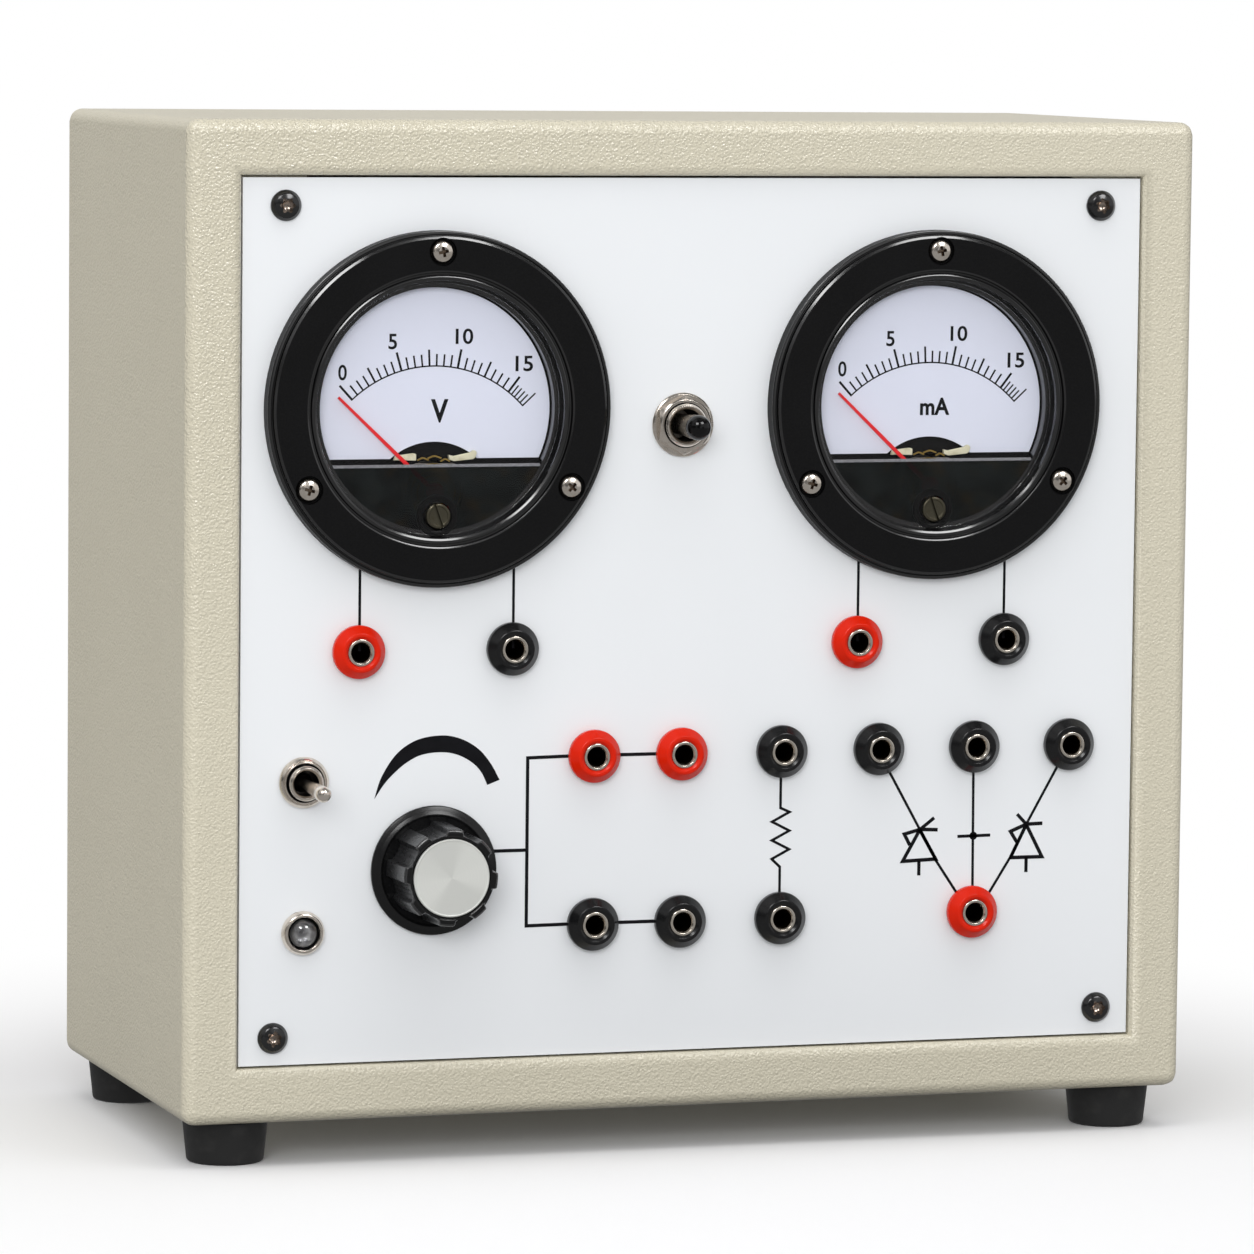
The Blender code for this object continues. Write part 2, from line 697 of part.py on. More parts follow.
def make_housing(name, materials, meter):
    moulding = turned(housing_profile(), BEZEL_SIDES)
    housing = piece(name + "_housing", moulding, materials["meter_black"], meter)
    combine(housing, lower_cover(), "UNION")
    holes = bmesh.new()
    for index in range(METER_SCREWS):
        angle = math.pi / 2 + 2 * math.pi * index / METER_SCREWS
        centre = (meter_screw_circle * math.cos(angle), meter_screw_circle * math.sin(angle))
        floor = FLANGE_THICKNESS - COUNTERBORE_DEPTH
        top = FLANGE_THICKNESS + OVERRUN
        profile = [(0, floor), (COUNTERBORE_RADIUS, floor), (COUNTERBORE_RADIUS, top), (0, top)]
        turned(profile, HOLE_SIDES, shape=holes, centre=centre)
    radius = ZERO_RADIUS + GAP
    low = cover_back - GAP
    profile = [(0, low), (radius, low), (radius, glass_back), (0, glass_back)]
    turned(profile, SIDES, shape=holes, centre=(0, -zero_drop))
    radius = pocket_radius
    profile = [(0, pocket_floor), (radius, pocket_floor), (radius, dial_front), (0, dial_front)]
    turned(profile, SIDES, shape=holes, centre=(0, -pivot_drop))
    combine(housing, holes, "DIFFERENCE")


def make_window(name, materials, meter):
    """The glass, with a hole that the zero adjuster's head comes up through."""
    profile = [(0, glass_back), (glass_radius, glass_back), (glass_radius, glass_front), (0, glass_front)]
    window = piece(name + "_window", turned(profile, BEZEL_SIDES), materials["glass"], meter)
    radius = ZERO_RADIUS + GAP
    low = glass_back - OVERRUN
    high = glass_front + OVERRUN
    hole = turned([(0, low), (radius, low), (radius, high), (0, high)], SIDES, centre=(0, -zero_drop))
    combine(window, hole, "DIFFERENCE")


def dial_outline():
    """A disc cut straight across below, with a round bite out of the straight edge for the movement."""
    radius = sight_radius - GAP
    corner = math.asin(dial_edge_drop / radius)
    outline = arc(radius, -corner, math.pi + corner, BEZEL_SIDES)
    bite = math.acos((cutout_drop - dial_edge_drop) / cutout_radius)
    centre = (0, -cutout_drop)
    outline += arc(cutout_radius, math.pi / 2 + bite, math.pi / 2 - bite, SIDES // 2, centre)
    return outline


def movement_shape():
    """The coil's bridge with its two upper tabs, in one flat piece."""
    half = bridge_half_width
    top = -cover_drop - TAB_HEIGHT
    bottom = -pivot_drop - core_radius / 2
    tab_top = -tab_top_drop
    tab_foot = tab_top - TAB_HEIGHT
    right = [(half, bottom), (half, tab_foot), (tab_outer, tab_foot), (tab_outer, tab_top)]
    right += [(tab_inner, tab_top), (tab_inner, top)]
    left = [(-x, y) for x, y in reversed(right)]
    return prism(right + left, bridge_back, bridge_front)


def make_movement(name, materials, meter):
    """Pole disc and core in the pocket, and the bridge in front that bears the pointer's pivot."""
    movement = piece(name + "_movement", movement_shape(), materials["brass"], meter)
    base = pocket_floor + GAP
    root = (bridge_back + bridge_front) / 2
    core = [
        (0, base),
        (pole_radius, base),
        (pole_radius, base + POLE_THICKNESS),
        (core_radius, base + POLE_THICKNESS),
        (core_radius, root),
        (0, root),
    ]
    combine(movement, turned(core, SIDES, centre=(0, -pivot_drop)), "UNION")


def needle_outline():
    """The pointer's blade, hub, tail and balance weight, pointing up along Y."""
    blade = math.asin(NEEDLE_ROOT_HALF / HUB_RADIUS)
    tail = math.asin(TAIL_HALF / HUB_RADIUS)
    weight_start = -TAIL_LENGTH + WEIGHT_LENGTH
    outline = [(-NEEDLE_TIP_HALF, needle_length), (NEEDLE_TIP_HALF, needle_length)]
    outline += arc(HUB_RADIUS, math.pi / 2 - blade, tail - math.pi / 2, DOME_STEPS * 2)
    outline += [(TAIL_HALF, weight_start), (WEIGHT_HALF, weight_start), (WEIGHT_HALF, -TAIL_LENGTH)]
    outline += [(-WEIGHT_HALF, -TAIL_LENGTH), (-WEIGHT_HALF, weight_start), (-TAIL_HALF, weight_start)]
    outline += arc(HUB_RADIUS, -math.pi / 2 - tail, -3 * math.pi / 2 + blade, DOME_STEPS * 2)
    return outline


def make_zero_screw(name, materials, meter):
    axis = frame(name + "_zero_axis", meter, (0, -zero_drop, 0))
    top = glass_front - ZERO_SINK
    profile = [(0, cover_back), (ZERO_RADIUS, cover_back), (ZERO_RADIUS, top), (0, top)]
    screw = piece(name + "_zero_screw", turned(profile, SIDES), materials["nickel"], axis)
    half = ZERO_SLOT_WIDTH / 2
    low = (-half, -ZERO_RADIUS - OVERRUN, top - ZERO_SLOT_DEPTH)
    high = (half, ZERO_RADIUS + OVERRUN, top + OVERRUN)
    combine(screw, block(low, high), "DIFFERENCE")


def make_meter(name, across, materials, panel):
    meter = frame(name + "_centre", panel, (across, meter_up, 0))
    make_housing(name, materials, meter)
    make_window(name, materials, meter)
    piece(name + "_dial", prism(dial_outline(), dial_back, dial_front), materials["dial_white"], meter)
    make_movement(name, materials, meter)
    pivot = frame(name + "_pivot", meter, (0, -pivot_drop, 0), (0, 0, REST_ANGLE))
    needle = prism(needle_outline(), needle_back, needle_front)
    piece(name + "_needle", needle, materials["needle_red"], pivot)
    make_zero_screw(name, materials, meter)


def make_socket(name, colour, across, up, materials, panel):
    """A moulded head with its barrel through the panel, and the nickel sleeve that takes the plug."""
    place = (across, up, 0)
    bore = SLEEVE_RADIUS + GAP
    head = [
        (bore, -BARREL_LENGTH),
        (BARREL_RADIUS, -BARREL_LENGTH),
        (BARREL_RADIUS, GAP),
        (SOCKET_RADIUS, GAP),
        (SOCKET_RADIUS, SOCKET_WALL),
        (SOCKET_FACE_RADIUS, SOCKET_HEIGHT),
        (bore, SOCKET_HEIGHT),
    ]
    material = materials["socket_" + colour]
    piece("socket_" + name, turned(head, SOCKET_SIDES), material, panel, place)
    face = SOCKET_HEIGHT - SLEEVE_CHAMFER
    end = -BARREL_LENGTH - SLEEVE_REAR_PROUD
    sleeve = [
        (0, end),
        (SLEEVE_RADIUS, end),
        (SLEEVE_RADIUS, face),
        (SLEEVE_BORE_RADIUS + SLEEVE_CHAMFER, face),
        (SLEEVE_BORE_RADIUS, face - SLEEVE_CHAMFER),
        (SLEEVE_BORE_RADIUS, face - SLEEVE_BORE_DEPTH),
        (0, face - SLEEVE_BORE_DEPTH),
    ]
    piece("sleeve_" + name, turned(sleeve, SLEEVE_SIDES), materials["nickel"], panel, place)


def knob_profile():
    """Section of the knob, from its bore out to the skirt, up the grip and in to the cap's seat."""
    rim = SKIRT_RADIUS - SKIRT_RIM_INSET
    dish = SKIRT_RIM_HEIGHT - SKIRT_DISH_DEPTH
    bore = SPINDLE_RADIUS + GAP
    seat = KNOB_HEIGHT - CAP_THICKNESS
    top = seat - KNOB_SOLID_FRONT
    return [
        (0, top),
        (bore, top),
        (bore, KNOB_HOLLOW_DEPTH),
        (KNOB_HOLLOW_RADIUS, KNOB_HOLLOW_DEPTH),
        (KNOB_HOLLOW_RADIUS, SKIRT_LIFT),
        (SKIRT_RADIUS, SKIRT_LIFT),
        (SKIRT_RADIUS, SKIRT_LIFT + SKIRT_EDGE),
        (rim, SKIRT_RIM_HEIGHT),
        (rim - DISH_WIDTH, dish),
        (GRIP_RADIUS, dish, True),
        (GRIP_RADIUS - GRIP_TAPER, KNOB_HEIGHT - GRIP_CHAMFER, True),
        (GRIP_RADIUS - GRIP_TAPER - GRIP_CHAMFER, KNOB_HEIGHT, True),
        (CAP_RADIUS + GAP, KNOB_HEIGHT),
        (CAP_RADIUS + GAP, seat),
        (0, seat),
    ]


def make_knob(materials, panel):
    axis = frame("knob_axis", panel, (knob_across, knob_up, 0))
    piece("knob", turned(knob_profile(), lobed_sides()), materials["knob_black"], axis)
    seat = KNOB_HEIGHT - CAP_THICKNESS + GAP
    top = KNOB_HEIGHT + GAP
    profile = [(0, seat), (CAP_RADIUS, seat), (CAP_RADIUS, KNOB_HEIGHT), (CAP_RADIUS - GAP, top), (0, top)]
    piece("knob_cap", turned(profile, BEZEL_SIDES), materials["spun_aluminium"], axis)
    top = KNOB_HEIGHT - CAP_THICKNESS - KNOB_SOLID_FRONT - GAP
    end = -PANEL_THICKNESS - POT_DEPTH / 2
    profile = [(0, end), (SPINDLE_RADIUS, end), (SPINDLE_RADIUS, top), (0, top)]
    piece("knob_spindle", turned(profile, SLEEVE_SIDES), materials["nickel"], axis)


def make_potentiometer(materials, panel):
    """The round can behind the panel, its bushing and nut in front, and the bore that bears the spindle."""
    can_front = -PANEL_THICKNESS - GAP
    bore_end = -PANEL_THICKNESS - POT_DEPTH / 2 - GAP
    profile = [
        (0, can_front - POT_DEPTH),
        (POT_RADIUS, can_front - POT_DEPTH),
        (POT_RADIUS, can_front),
        (BUSHING_RADIUS, can_front),
        (BUSHING_RADIUS, GAP),
        (POT_NUT_RADIUS, GAP),
        (POT_NUT_RADIUS, GAP + POT_NUT_THICKNESS),
        (BUSHING_RADIUS, GAP + POT_NUT_THICKNESS),
        (BUSHING_RADIUS, BUSHING_REACH),
        (SPINDLE_RADIUS + GAP, BUSHING_REACH),
        (SPINDLE_RADIUS + GAP, bore_end),
        (0, bore_end),
    ]
    place = (knob_across, knob_up, 0)
    piece("potentiometer", turned(profile, SIDES), materials["nickel"], panel, place)


def make_toggle(materials, panel):
    """Switch body behind the panel, threaded bushing, dress nut and the tilting lever."""
    place = (switch_column_across, toggle_up, 0)
    rear = -PANEL_THICKNESS - GAP
    nut_top = GAP + TOGGLE_NUT_THICKNESS
    profile = [
        (0, rear - OVERRUN),
        (TOGGLE_BUSHING_RADIUS, rear - OVERRUN),
        (TOGGLE_BUSHING_RADIUS, GAP),
        (TOGGLE_NUT_RADIUS, GAP),
        (TOGGLE_NUT_RADIUS, nut_top - TOGGLE_NUT_BEVEL),
        (TOGGLE_NUT_RADIUS - TOGGLE_NUT_BEVEL, nut_top),
        (TOGGLE_BUSHING_RADIUS, nut_top),
        (TOGGLE_BUSHING_RADIUS, TOGGLE_BUSHING_REACH),
        (0, TOGGLE_BUSHING_REACH),
    ]
    switch = piece("toggle_switch", turned(profile, SIDES), materials["nickel"], panel, place)
    low = (-TOGGLE_BODY_HALF_WIDTH, -TOGGLE_BODY_HALF_HEIGHT, rear - TOGGLE_BODY_DEPTH)
    high = (TOGGLE_BODY_HALF_WIDTH, TOGGLE_BODY_HALF_HEIGHT, rear)
    combine(switch, block(low, high), "UNION")
    floor = -TOGGLE_BORE_DEPTH
    top = TOGGLE_BUSHING_REACH + OVERRUN
    bore = [(0, floor), (TOGGLE_BORE_RADIUS, floor), (TOGGLE_BORE_RADIUS, top), (0, top)]
    combine(switch, turned(bore, SIDES), "DIFFERENCE")
    pivot_place = (switch_column_across, toggle_up, -LEVER_PIVOT_DEPTH)
    pivot = frame("toggle_pivot", panel, pivot_place, (LEVER_TILT, 0, 0))
    waist = math.sqrt(LEVER_BALL_RADIUS**2 - LEVER_ROOT_RADIUS**2)
    lever = [(0, -LEVER_BALL_RADIUS)]
    for step in range(1, 2 * DOME_STEPS):
        level = -LEVER_BALL_RADIUS + (waist + LEVER_BALL_RADIUS) * step / (2 * DOME_STEPS)
        lever.append((math.sqrt(LEVER_BALL_RADIUS**2 - level**2), level))
    lever.append((LEVER_ROOT_RADIUS, waist))
    lever += dome(LEVER_TIP_RADIUS, LEVER_LENGTH, LEVER_TIP_RADIUS)
    piece("toggle_lever", turned(lever, SLEEVE_SIDES), materials["nickel"], pivot)


def make_push_switch(materials, panel):
    """A washer and hexagon nut on the panel, the bushing through them, and the sprung plunger."""
    place = (push_across, push_up, 0)
    rear = -PANEL_THICKNESS - GAP
    washer_top = GAP + WASHER_THICKNESS
    profile = [
        (0, rear - PUSH_BODY_DEPTH),
        (PUSH_BODY_RADIUS, rear - PUSH_BODY_DEPTH),
        (PUSH_BODY_RADIUS, rear),
        (PUSH_BUSHING_RADIUS, rear),
        (PUSH_BUSHING_RADIUS, GAP),
        (WASHER_RADIUS, GAP),
        (WASHER_RADIUS, washer_top),
        (PUSH_BUSHING_RADIUS, washer_top),
        (PUSH_BUSHING_RADIUS, PUSH_BUSHING_REACH),
        (0, PUSH_BUSHING_REACH),
    ]
    switch = piece("push_switch", turned(profile, SIDES), materials["nickel"], panel, place)
    nut = prism(hexagon(HEX_HALF_FLATS), GAP + WASHER_THICKNESS / 2, washer_top + HEX_THICKNESS)
    combine(switch, nut, "UNION")
    floor = -PLUNGER_DEPTH - PUSH_TRAVEL - GAP
    top = PUSH_BUSHING_REACH + OVERRUN
    bore = [(0, floor), (PUSH_BORE_RADIUS, floor), (PUSH_BORE_RADIUS, top), (0, top)]
    combine(switch, turned(bore, SIDES), "DIFFERENCE")
    collar = PUSH_BORE_RADIUS - GAP
    plunger = [
        (0, -PLUNGER_DEPTH),
        (collar, -PLUNGER_DEPTH),
        (collar, COLLAR_LENGTH - PLUNGER_DEPTH),
        (PLUNGER_RADIUS, COLLAR_LENGTH - PLUNGER_DEPTH),
        (PLUNGER_RADIUS, PLUNGER_SHOULDER),
    ]
    plunger += dome(PLUNGER_TIP_RADIUS, PLUNGER_REACH - PLUNGER_TIP_RADIUS, PLUNGER_TIP_RADIUS)
    axis = frame("push_axis", panel, place)
    piece("push_plunger", turned(plunger, SOCKET_SIDES), materials["knob_black"], axis)


def make_lamp(materials, panel):
    """A rounded nickel bezel on a barrel, with the clear lens inside it."""
    place = (switch_column_across, lower_row_up, 0)
    bore = LENS_RADIUS + GAP
    middle = (LAMP_BEZEL_RADIUS + LAMP_RIM_RADIUS) / 2
    width = (LAMP_BEZEL_RADIUS - LAMP_RIM_RADIUS) / 2
    profile = [(bore, -LAMP_BARREL_LENGTH), (LAMP_BARREL_RADIUS, -LAMP_BARREL_LENGTH)]
    profile += [(LAMP_BARREL_RADIUS, GAP), (LAMP_BEZEL_RADIUS, GAP)]
    for step in range(DOME_STEPS + 1):
        angle = math.pi * step / DOME_STEPS
        level = LAMP_BEZEL_HEIGHT - width * (1 - math.sin(angle))
        profile.append((middle + width * math.cos(angle), level))
    profile.append((bore, LAMP_BEZEL_HEIGHT / 2))
    piece("lamp_bezel", turned(profile, SIDES), materials["nickel"], panel, place)
    base = LAMP_BEZEL_HEIGHT / 2
    lens = [(0, base - LENS_LENGTH), (LENS_RADIUS, base - LENS_LENGTH)] + dome(LENS_RADIUS, base, LENS_DOME)
    piece("lamp_lens", turned(lens, SOCKET_SIDES), materials["lens_clear"], panel, place)


def make_transformer(materials):
    """Laminated core, coil and the strap that holds them to the floor."""
    floor = inner_floor + GAP
    strap = block(
        (-BRACKET_WIDTH / 2, -BRACKET_DEPTH / 2, 0),
        (BRACKET_WIDTH / 2, BRACKET_DEPTH / 2, BRACKET_THICKNESS),
    )
    place = (transformer_across, chassis_depth, floor)
    transformer = piece("transformer", strap, materials["core_steel"], None, place)
    low = (-STACK_WIDTH / 2, -STACK_DEPTH / 2, BRACKET_THICKNESS / 2)
    high = (STACK_WIDTH / 2, STACK_DEPTH / 2, BRACKET_THICKNESS + STACK_HEIGHT)
    combine(transformer, block(low, high), "UNION")
    middle = BRACKET_THICKNESS + STACK_HEIGHT / 2
    low = (-COIL_WIDTH / 2, -COIL_DEPTH / 2, middle - COIL_HEIGHT / 2)
    high = (COIL_WIDTH / 2, COIL_DEPTH / 2, middle + COIL_HEIGHT / 2)
    coil = block(low, high)
    upright = [edge for edge in coil.edges if abs(edge.verts[0].co.z - edge.verts[1].co.z) > GAP]
    corner = (COIL_DEPTH - STACK_DEPTH) / 4
    bmesh.ops.bevel(coil, geom=upright, offset=corner, segments=2, profile=0.5, affect="EDGES")
    combine(transformer, coil, "UNION")


def make_circuit_board(materials):
    """The regulator board on four pillars, with its smoothing capacitor and the heat sink."""
    place = (regulator_across, chassis_depth, inner_floor + GAP)
    half_width = BOARD_PLATE_WIDTH / 2
    half_depth = BOARD_PLATE_DEPTH / 2
    top = PILLAR_HEIGHT + BOARD_PLATE_THICKNESS
    plate = block((-half_width, -half_depth, PILLAR_HEIGHT), (half_width, half_depth, top))
    board = piece("circuit_board", plate, materials["board_green"], None, place)
    root = PILLAR_HEIGHT + BOARD_PLATE_THICKNESS / 2
    stands = bmesh.new()
    for side in (-1, 1):
        for row in (-1, 1):
            centre = (side * (half_width - PILLAR_INSET), row * (half_depth - PILLAR_INSET))
            profile = [(0, 0), (PILLAR_RADIUS, 0), (PILLAR_RADIUS, root), (0, root)]
            turned(profile, HOLE_SIDES // 2, shape=stands, centre=centre)
    capacitor = [(0, root), (CAPACITOR_RADIUS, root), (CAPACITOR_RADIUS, top + CAPACITOR_HEIGHT)]
    capacitor.append((0, top + CAPACITOR_HEIGHT))
    turned(capacitor, SLEEVE_SIDES, shape=stands, centre=(CAPACITOR_INSET - half_width, 0))
    combine(board, stands, "UNION")
    start = half_width - HEATSINK_WIDTH - PILLAR_INSET
    inner = HEATSINK_THICKNESS
    outline = [(start, 0), (start + HEATSINK_WIDTH, 0), (start + HEATSINK_WIDTH, HEATSINK_FIN)]
    outline += [(start + HEATSINK_WIDTH - inner, HEATSINK_FIN), (start + HEATSINK_WIDTH - inner, inner)]
    outline += [(start + inner, inner), (start + inner, HEATSINK_FIN), (start, HEATSINK_FIN)]
    combine(board, prism(outline, root, top + HEATSINK_HEIGHT), "UNION")


def make_materials():
    """Colour, roughness, metallic value and opacity of each finish."""
    recipes = {
        "covering": ((0.62, 0.585, 0.50), 0.45, 0.0, 1.0),
        "panel_white": ((0.84, 0.86, 0.88), 0.35, 0.0, 1.0),
        "back_board": ((0.30, 0.20, 0.13), 0.60, 0.0, 1.0),
        "rubber": ((0.018, 0.018, 0.018), 0.60, 0.0, 1.0),
        "meter_black": ((0.012, 0.012, 0.013), 0.35, 0.0, 1.0),
        "glass": ((0.95, 0.97, 1.0), 0.02, 0.0, 0.15),
        "dial_white": ((0.80, 0.80, 0.88), 0.45, 0.0, 1.0),
        "needle_red": ((0.75, 0.01, 0.02), 0.35, 0.0, 1.0),
        "brass": ((0.62, 0.50, 0.26), 0.30, 1.0, 1.0),
        "nickel": ((0.66, 0.63, 0.58), 0.18, 1.0, 1.0),
        "socket_red": ((0.78, 0.02, 0.015), 0.25, 0.0, 1.0),
        "socket_black": ((0.013, 0.014, 0.015), 0.25, 0.0, 1.0),
        "knob_black": ((0.012, 0.012, 0.013), 0.30, 0.0, 1.0),
        "spun_aluminium": ((0.76, 0.76, 0.74), 0.35, 1.0, 1.0),
        "lens_clear": ((0.45, 0.46, 0.46), 0.05, 0.0, 0.8),
        "core_steel": ((0.16, 0.15, 0.15), 0.50, 0.6, 1.0),
        "board_green": ((0.02, 0.16, 0.07), 0.45, 0.0, 1.0),
    }
    return {name: finish(name, *recipe) for name, recipe in recipes.items()}


def main():
    clear_scene()
    materials = make_materials()
    panel = frame("panel_frame", None, (0, panel_face, FOOT_HEIGHT), (math.pi / 2, 0, 0))
    back = frame("back_frame", None, (0, back_face, FOOT_HEIGHT), (math.pi / 2, 0, math.pi))
    make_cabinet(materials)
    make_front_panel(materials, panel)
    make_back_panel(materials, back)
    make_gland(materials, back)
    make_feet(materials)
    make_meter("volt_meter", volt_meter_across, materials, panel)
    make_meter("milliamp_meter", milliamp_meter_across, materials, panel)
    for name, colour, across, up in socket_places():
        make_socket(name, colour, across, up, materials, panel)
    make_potentiometer(materials, panel)
    make_knob(materials, panel)
    make_toggle(materials, panel)
    make_push_switch(materials, panel)
    make_lamp(materials, panel)
    make_transformer(materials)
    make_circuit_board(materials)


main()
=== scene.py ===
"""Looks of the zener diode trainer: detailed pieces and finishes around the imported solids.

Shapes are written in millimetres. A piece that lies on the panel has X across, Y up from the case's
underside and Z out towards the user, and its object stands on its own axis."""

import math

import bmesh
import bpy
from mathutils import Matrix, Vector


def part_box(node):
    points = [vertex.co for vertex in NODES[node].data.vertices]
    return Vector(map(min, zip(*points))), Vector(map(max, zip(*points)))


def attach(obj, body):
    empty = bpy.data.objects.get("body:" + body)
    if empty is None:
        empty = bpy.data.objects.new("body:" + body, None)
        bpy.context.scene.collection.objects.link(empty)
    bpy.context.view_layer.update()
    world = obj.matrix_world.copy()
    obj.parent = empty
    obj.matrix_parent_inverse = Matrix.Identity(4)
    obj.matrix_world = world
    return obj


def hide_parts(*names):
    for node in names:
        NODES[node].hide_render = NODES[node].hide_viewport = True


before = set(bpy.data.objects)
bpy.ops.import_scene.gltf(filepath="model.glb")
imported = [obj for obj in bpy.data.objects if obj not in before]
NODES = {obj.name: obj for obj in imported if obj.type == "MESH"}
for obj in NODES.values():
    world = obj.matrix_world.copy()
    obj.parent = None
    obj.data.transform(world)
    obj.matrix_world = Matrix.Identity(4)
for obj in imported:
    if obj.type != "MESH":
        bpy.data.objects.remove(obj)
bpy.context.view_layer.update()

MM = 0.001
PANEL_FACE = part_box("front_panel")[0].y
BACK_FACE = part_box("back_panel")[1].y
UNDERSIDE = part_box("cabinet")[0].z
METERS = ("volt_meter", "milliamp_meter")
SOCKETS = {
    "volt_positive": "red", "volt_negative": "black",
    "milliamp_positive": "red", "milliamp_negative": "black",
    "output_positive_near": "red", "output_positive_far": "red",
    "output_negative_near": "black", "output_negative_far": "black",
    "resistor_upper": "black", "resistor_lower": "black",
    "zener_left": "black", "zener_middle": "black", "zener_right": "black",
    "zener_common": "red",
}

# Meter, in millimetres out from the panel's face and down from the meter's middle
FLANGE_RADIUS = 40.0
FLANGE_THICKNESS = 5.0
SIGHT_RADIUS = 27.4
GLASS_RADIUS = 28.3
GLASS_LEVELS = (1.9, 3.3)
COVER_LEVELS = (0.5, 1.3)
COVER_DROP = 12.6
DIAL_LEVELS = (-1.9, -1.4)
DIAL_DROP = 11.3
DIAL_SEAT = -2.2
BITE_RADIUS = 15.5
BITE_DROP = 23.0
PIVOT_DROP = 18.8
ZERO_DROP = 24.0
SCREW_CIRCLE = 35.3

# Printed lines
PRINT_LEVELS = (0.0, 0.05)
LINE = 0.78
SCALE_RADIUS = 28.3
SCALE_START = -42.5
SCALE_END = 47.2
SCALE_STEP = 3.35
CLOSE_STEP = 1.86


# Shader sums

class Term:
    """A socket of a finish, so that shader sums are written as sums."""

    def __init__(self, finish, socket):
        self.finish = finish
        self.socket = socket

    def __add__(self, other):
        return self.finish.maths("ADD", self, other)

    __radd__ = __add__

    def __sub__(self, other):
        return self.finish.maths("SUBTRACT", self, other)

    def __rsub__(self, other):
        return self.finish.maths("SUBTRACT", other, self)

    def __mul__(self, other):
        return self.finish.maths("MULTIPLY", self, other)

    __rmul__ = __mul__

    def __truediv__(self, other):
        return self.finish.maths("DIVIDE", self, other)

    def __pow__(self, other):
        return self.finish.maths("POWER", self, other)


class Finish:
    """A procedural material round one Principled shader. Its own coordinates are the piece's, in metres."""

    def __init__(self, name, world=None, **constants):
        self.material = world or bpy.data.materials.new(name)
        self.material.use_nodes = True
        self.tree = self.material.node_tree
        if world:
            self.tree.nodes.clear()
            return
        self.shader = self.tree.nodes["Principled BSDF"]
        for key, value in constants.items():
            self.feed(self.shader.inputs[key.replace("_", " ")], value)
        self.place = self.node("TexCoord", output="Object")
        self.x, self.y, self.z = (self.node("SeparateXYZ", inputs={0: self.place}, output=i) for i in range(3))

    def feed(self, socket, value):
        if isinstance(value, Term):
            self.tree.links.new(value.socket, socket)
        elif isinstance(value, tuple) and len(value) == 3 and socket.type == "RGBA":
            socket.default_value = (*value, 1.0)
        else:
            socket.default_value = value

    def node(self, kind, settings=None, inputs=None, output=0):
        made = self.tree.nodes.new("ShaderNode" + kind)
        for key, value in (settings or {}).items():
            setattr(made, key, value)
        for key, value in (inputs or {}).items():
            self.feed(made.inputs[key], value)
        return Term(self, made.outputs[output])

    def maths(self, operation, *values):
        return self.node("Math", {"operation": operation}, dict(enumerate(values)))

    def noise(self, size, detail=3.0, where=None, output="Fac"):
        """Noise whose blobs are about size millimetres wide."""
        inputs = {"Vector": where or self.place, "Scale": 1 / (size * MM), "Detail": detail}
        return self.node("TexNoise", {}, inputs, output)

    def cells(self, size, feature="SMOOTH_F1", where=None):
        inputs = {"Vector": where or self.place, "Scale": 1 / (size * MM)}
        return self.node("TexVoronoi", {"feature": feature}, inputs, "Distance")

    def warped(self, size, reach):
        """The piece's coordinates pushed about by up to reach millimetres."""
        drift = self.noise(size, output="Color")
        by = (reach * MM,) * 3
        return self.node("VectorMath", {"operation": "MULTIPLY_ADD"}, {0: drift, 1: by, 2: self.place})

    def stretched(self, x, y, z):
        return self.node("VectorMath", {"operation": "MULTIPLY"}, {0: self.place, 1: (x, y, z)})

    def between(self, value, low, high, out_low=0.0, out_high=1.0):
        """The value's run from low to high, brought smoothly to the run from out_low to out_high."""
        inputs = {"Value": value, "From Min": low, "From Max": high, "To Min": out_low, "To Max": out_high}
        return self.node("MapRange", {"interpolation_type": "SMOOTHSTEP"}, inputs)

    def blend(self, factor, first, second, mode="MIX"):
        settings = {"data_type": "RGBA", "blend_type": mode}
        return self.node("Mix", settings, {0: factor, 6: first, 7: second}, 2)

    def around(self):
        """Distance from the piece's axis, in metres, and the angle round it."""
        radius = self.maths("SQRT", self.x * self.x + self.y * self.y)
        return radius, self.maths("ARCTAN2", self.y, self.x)

    def colour(self, value):
        self.feed(self.shader.inputs["Base Color"], value)

    def roughness(self, value):
        self.feed(self.shader.inputs["Roughness"], value)

    def bump(self, height, depth, strength=1.0):
        """Bump whose full height is depth millimetres."""
        inputs = {"Height": height, "Distance": depth * MM, "Strength": strength}
        self.feed(self.shader.inputs["Normal"], self.node("Bump", {}, inputs))

    def see_through(self, factor, tint=(1.0, 1.0, 1.0)):
        """Lets light through wherever factor is less than one."""
        clear = self.node("BsdfTransparent", {}, {"Color": tint})
        mixed = self.node("MixShader", {}, {0: factor, 1: clear, 2: Term(self, self.shader.outputs[0])})
        surface = self.tree.nodes["Material Output"].inputs["Surface"]
        self.tree.links.new(mixed.socket, surface)


# Finishes

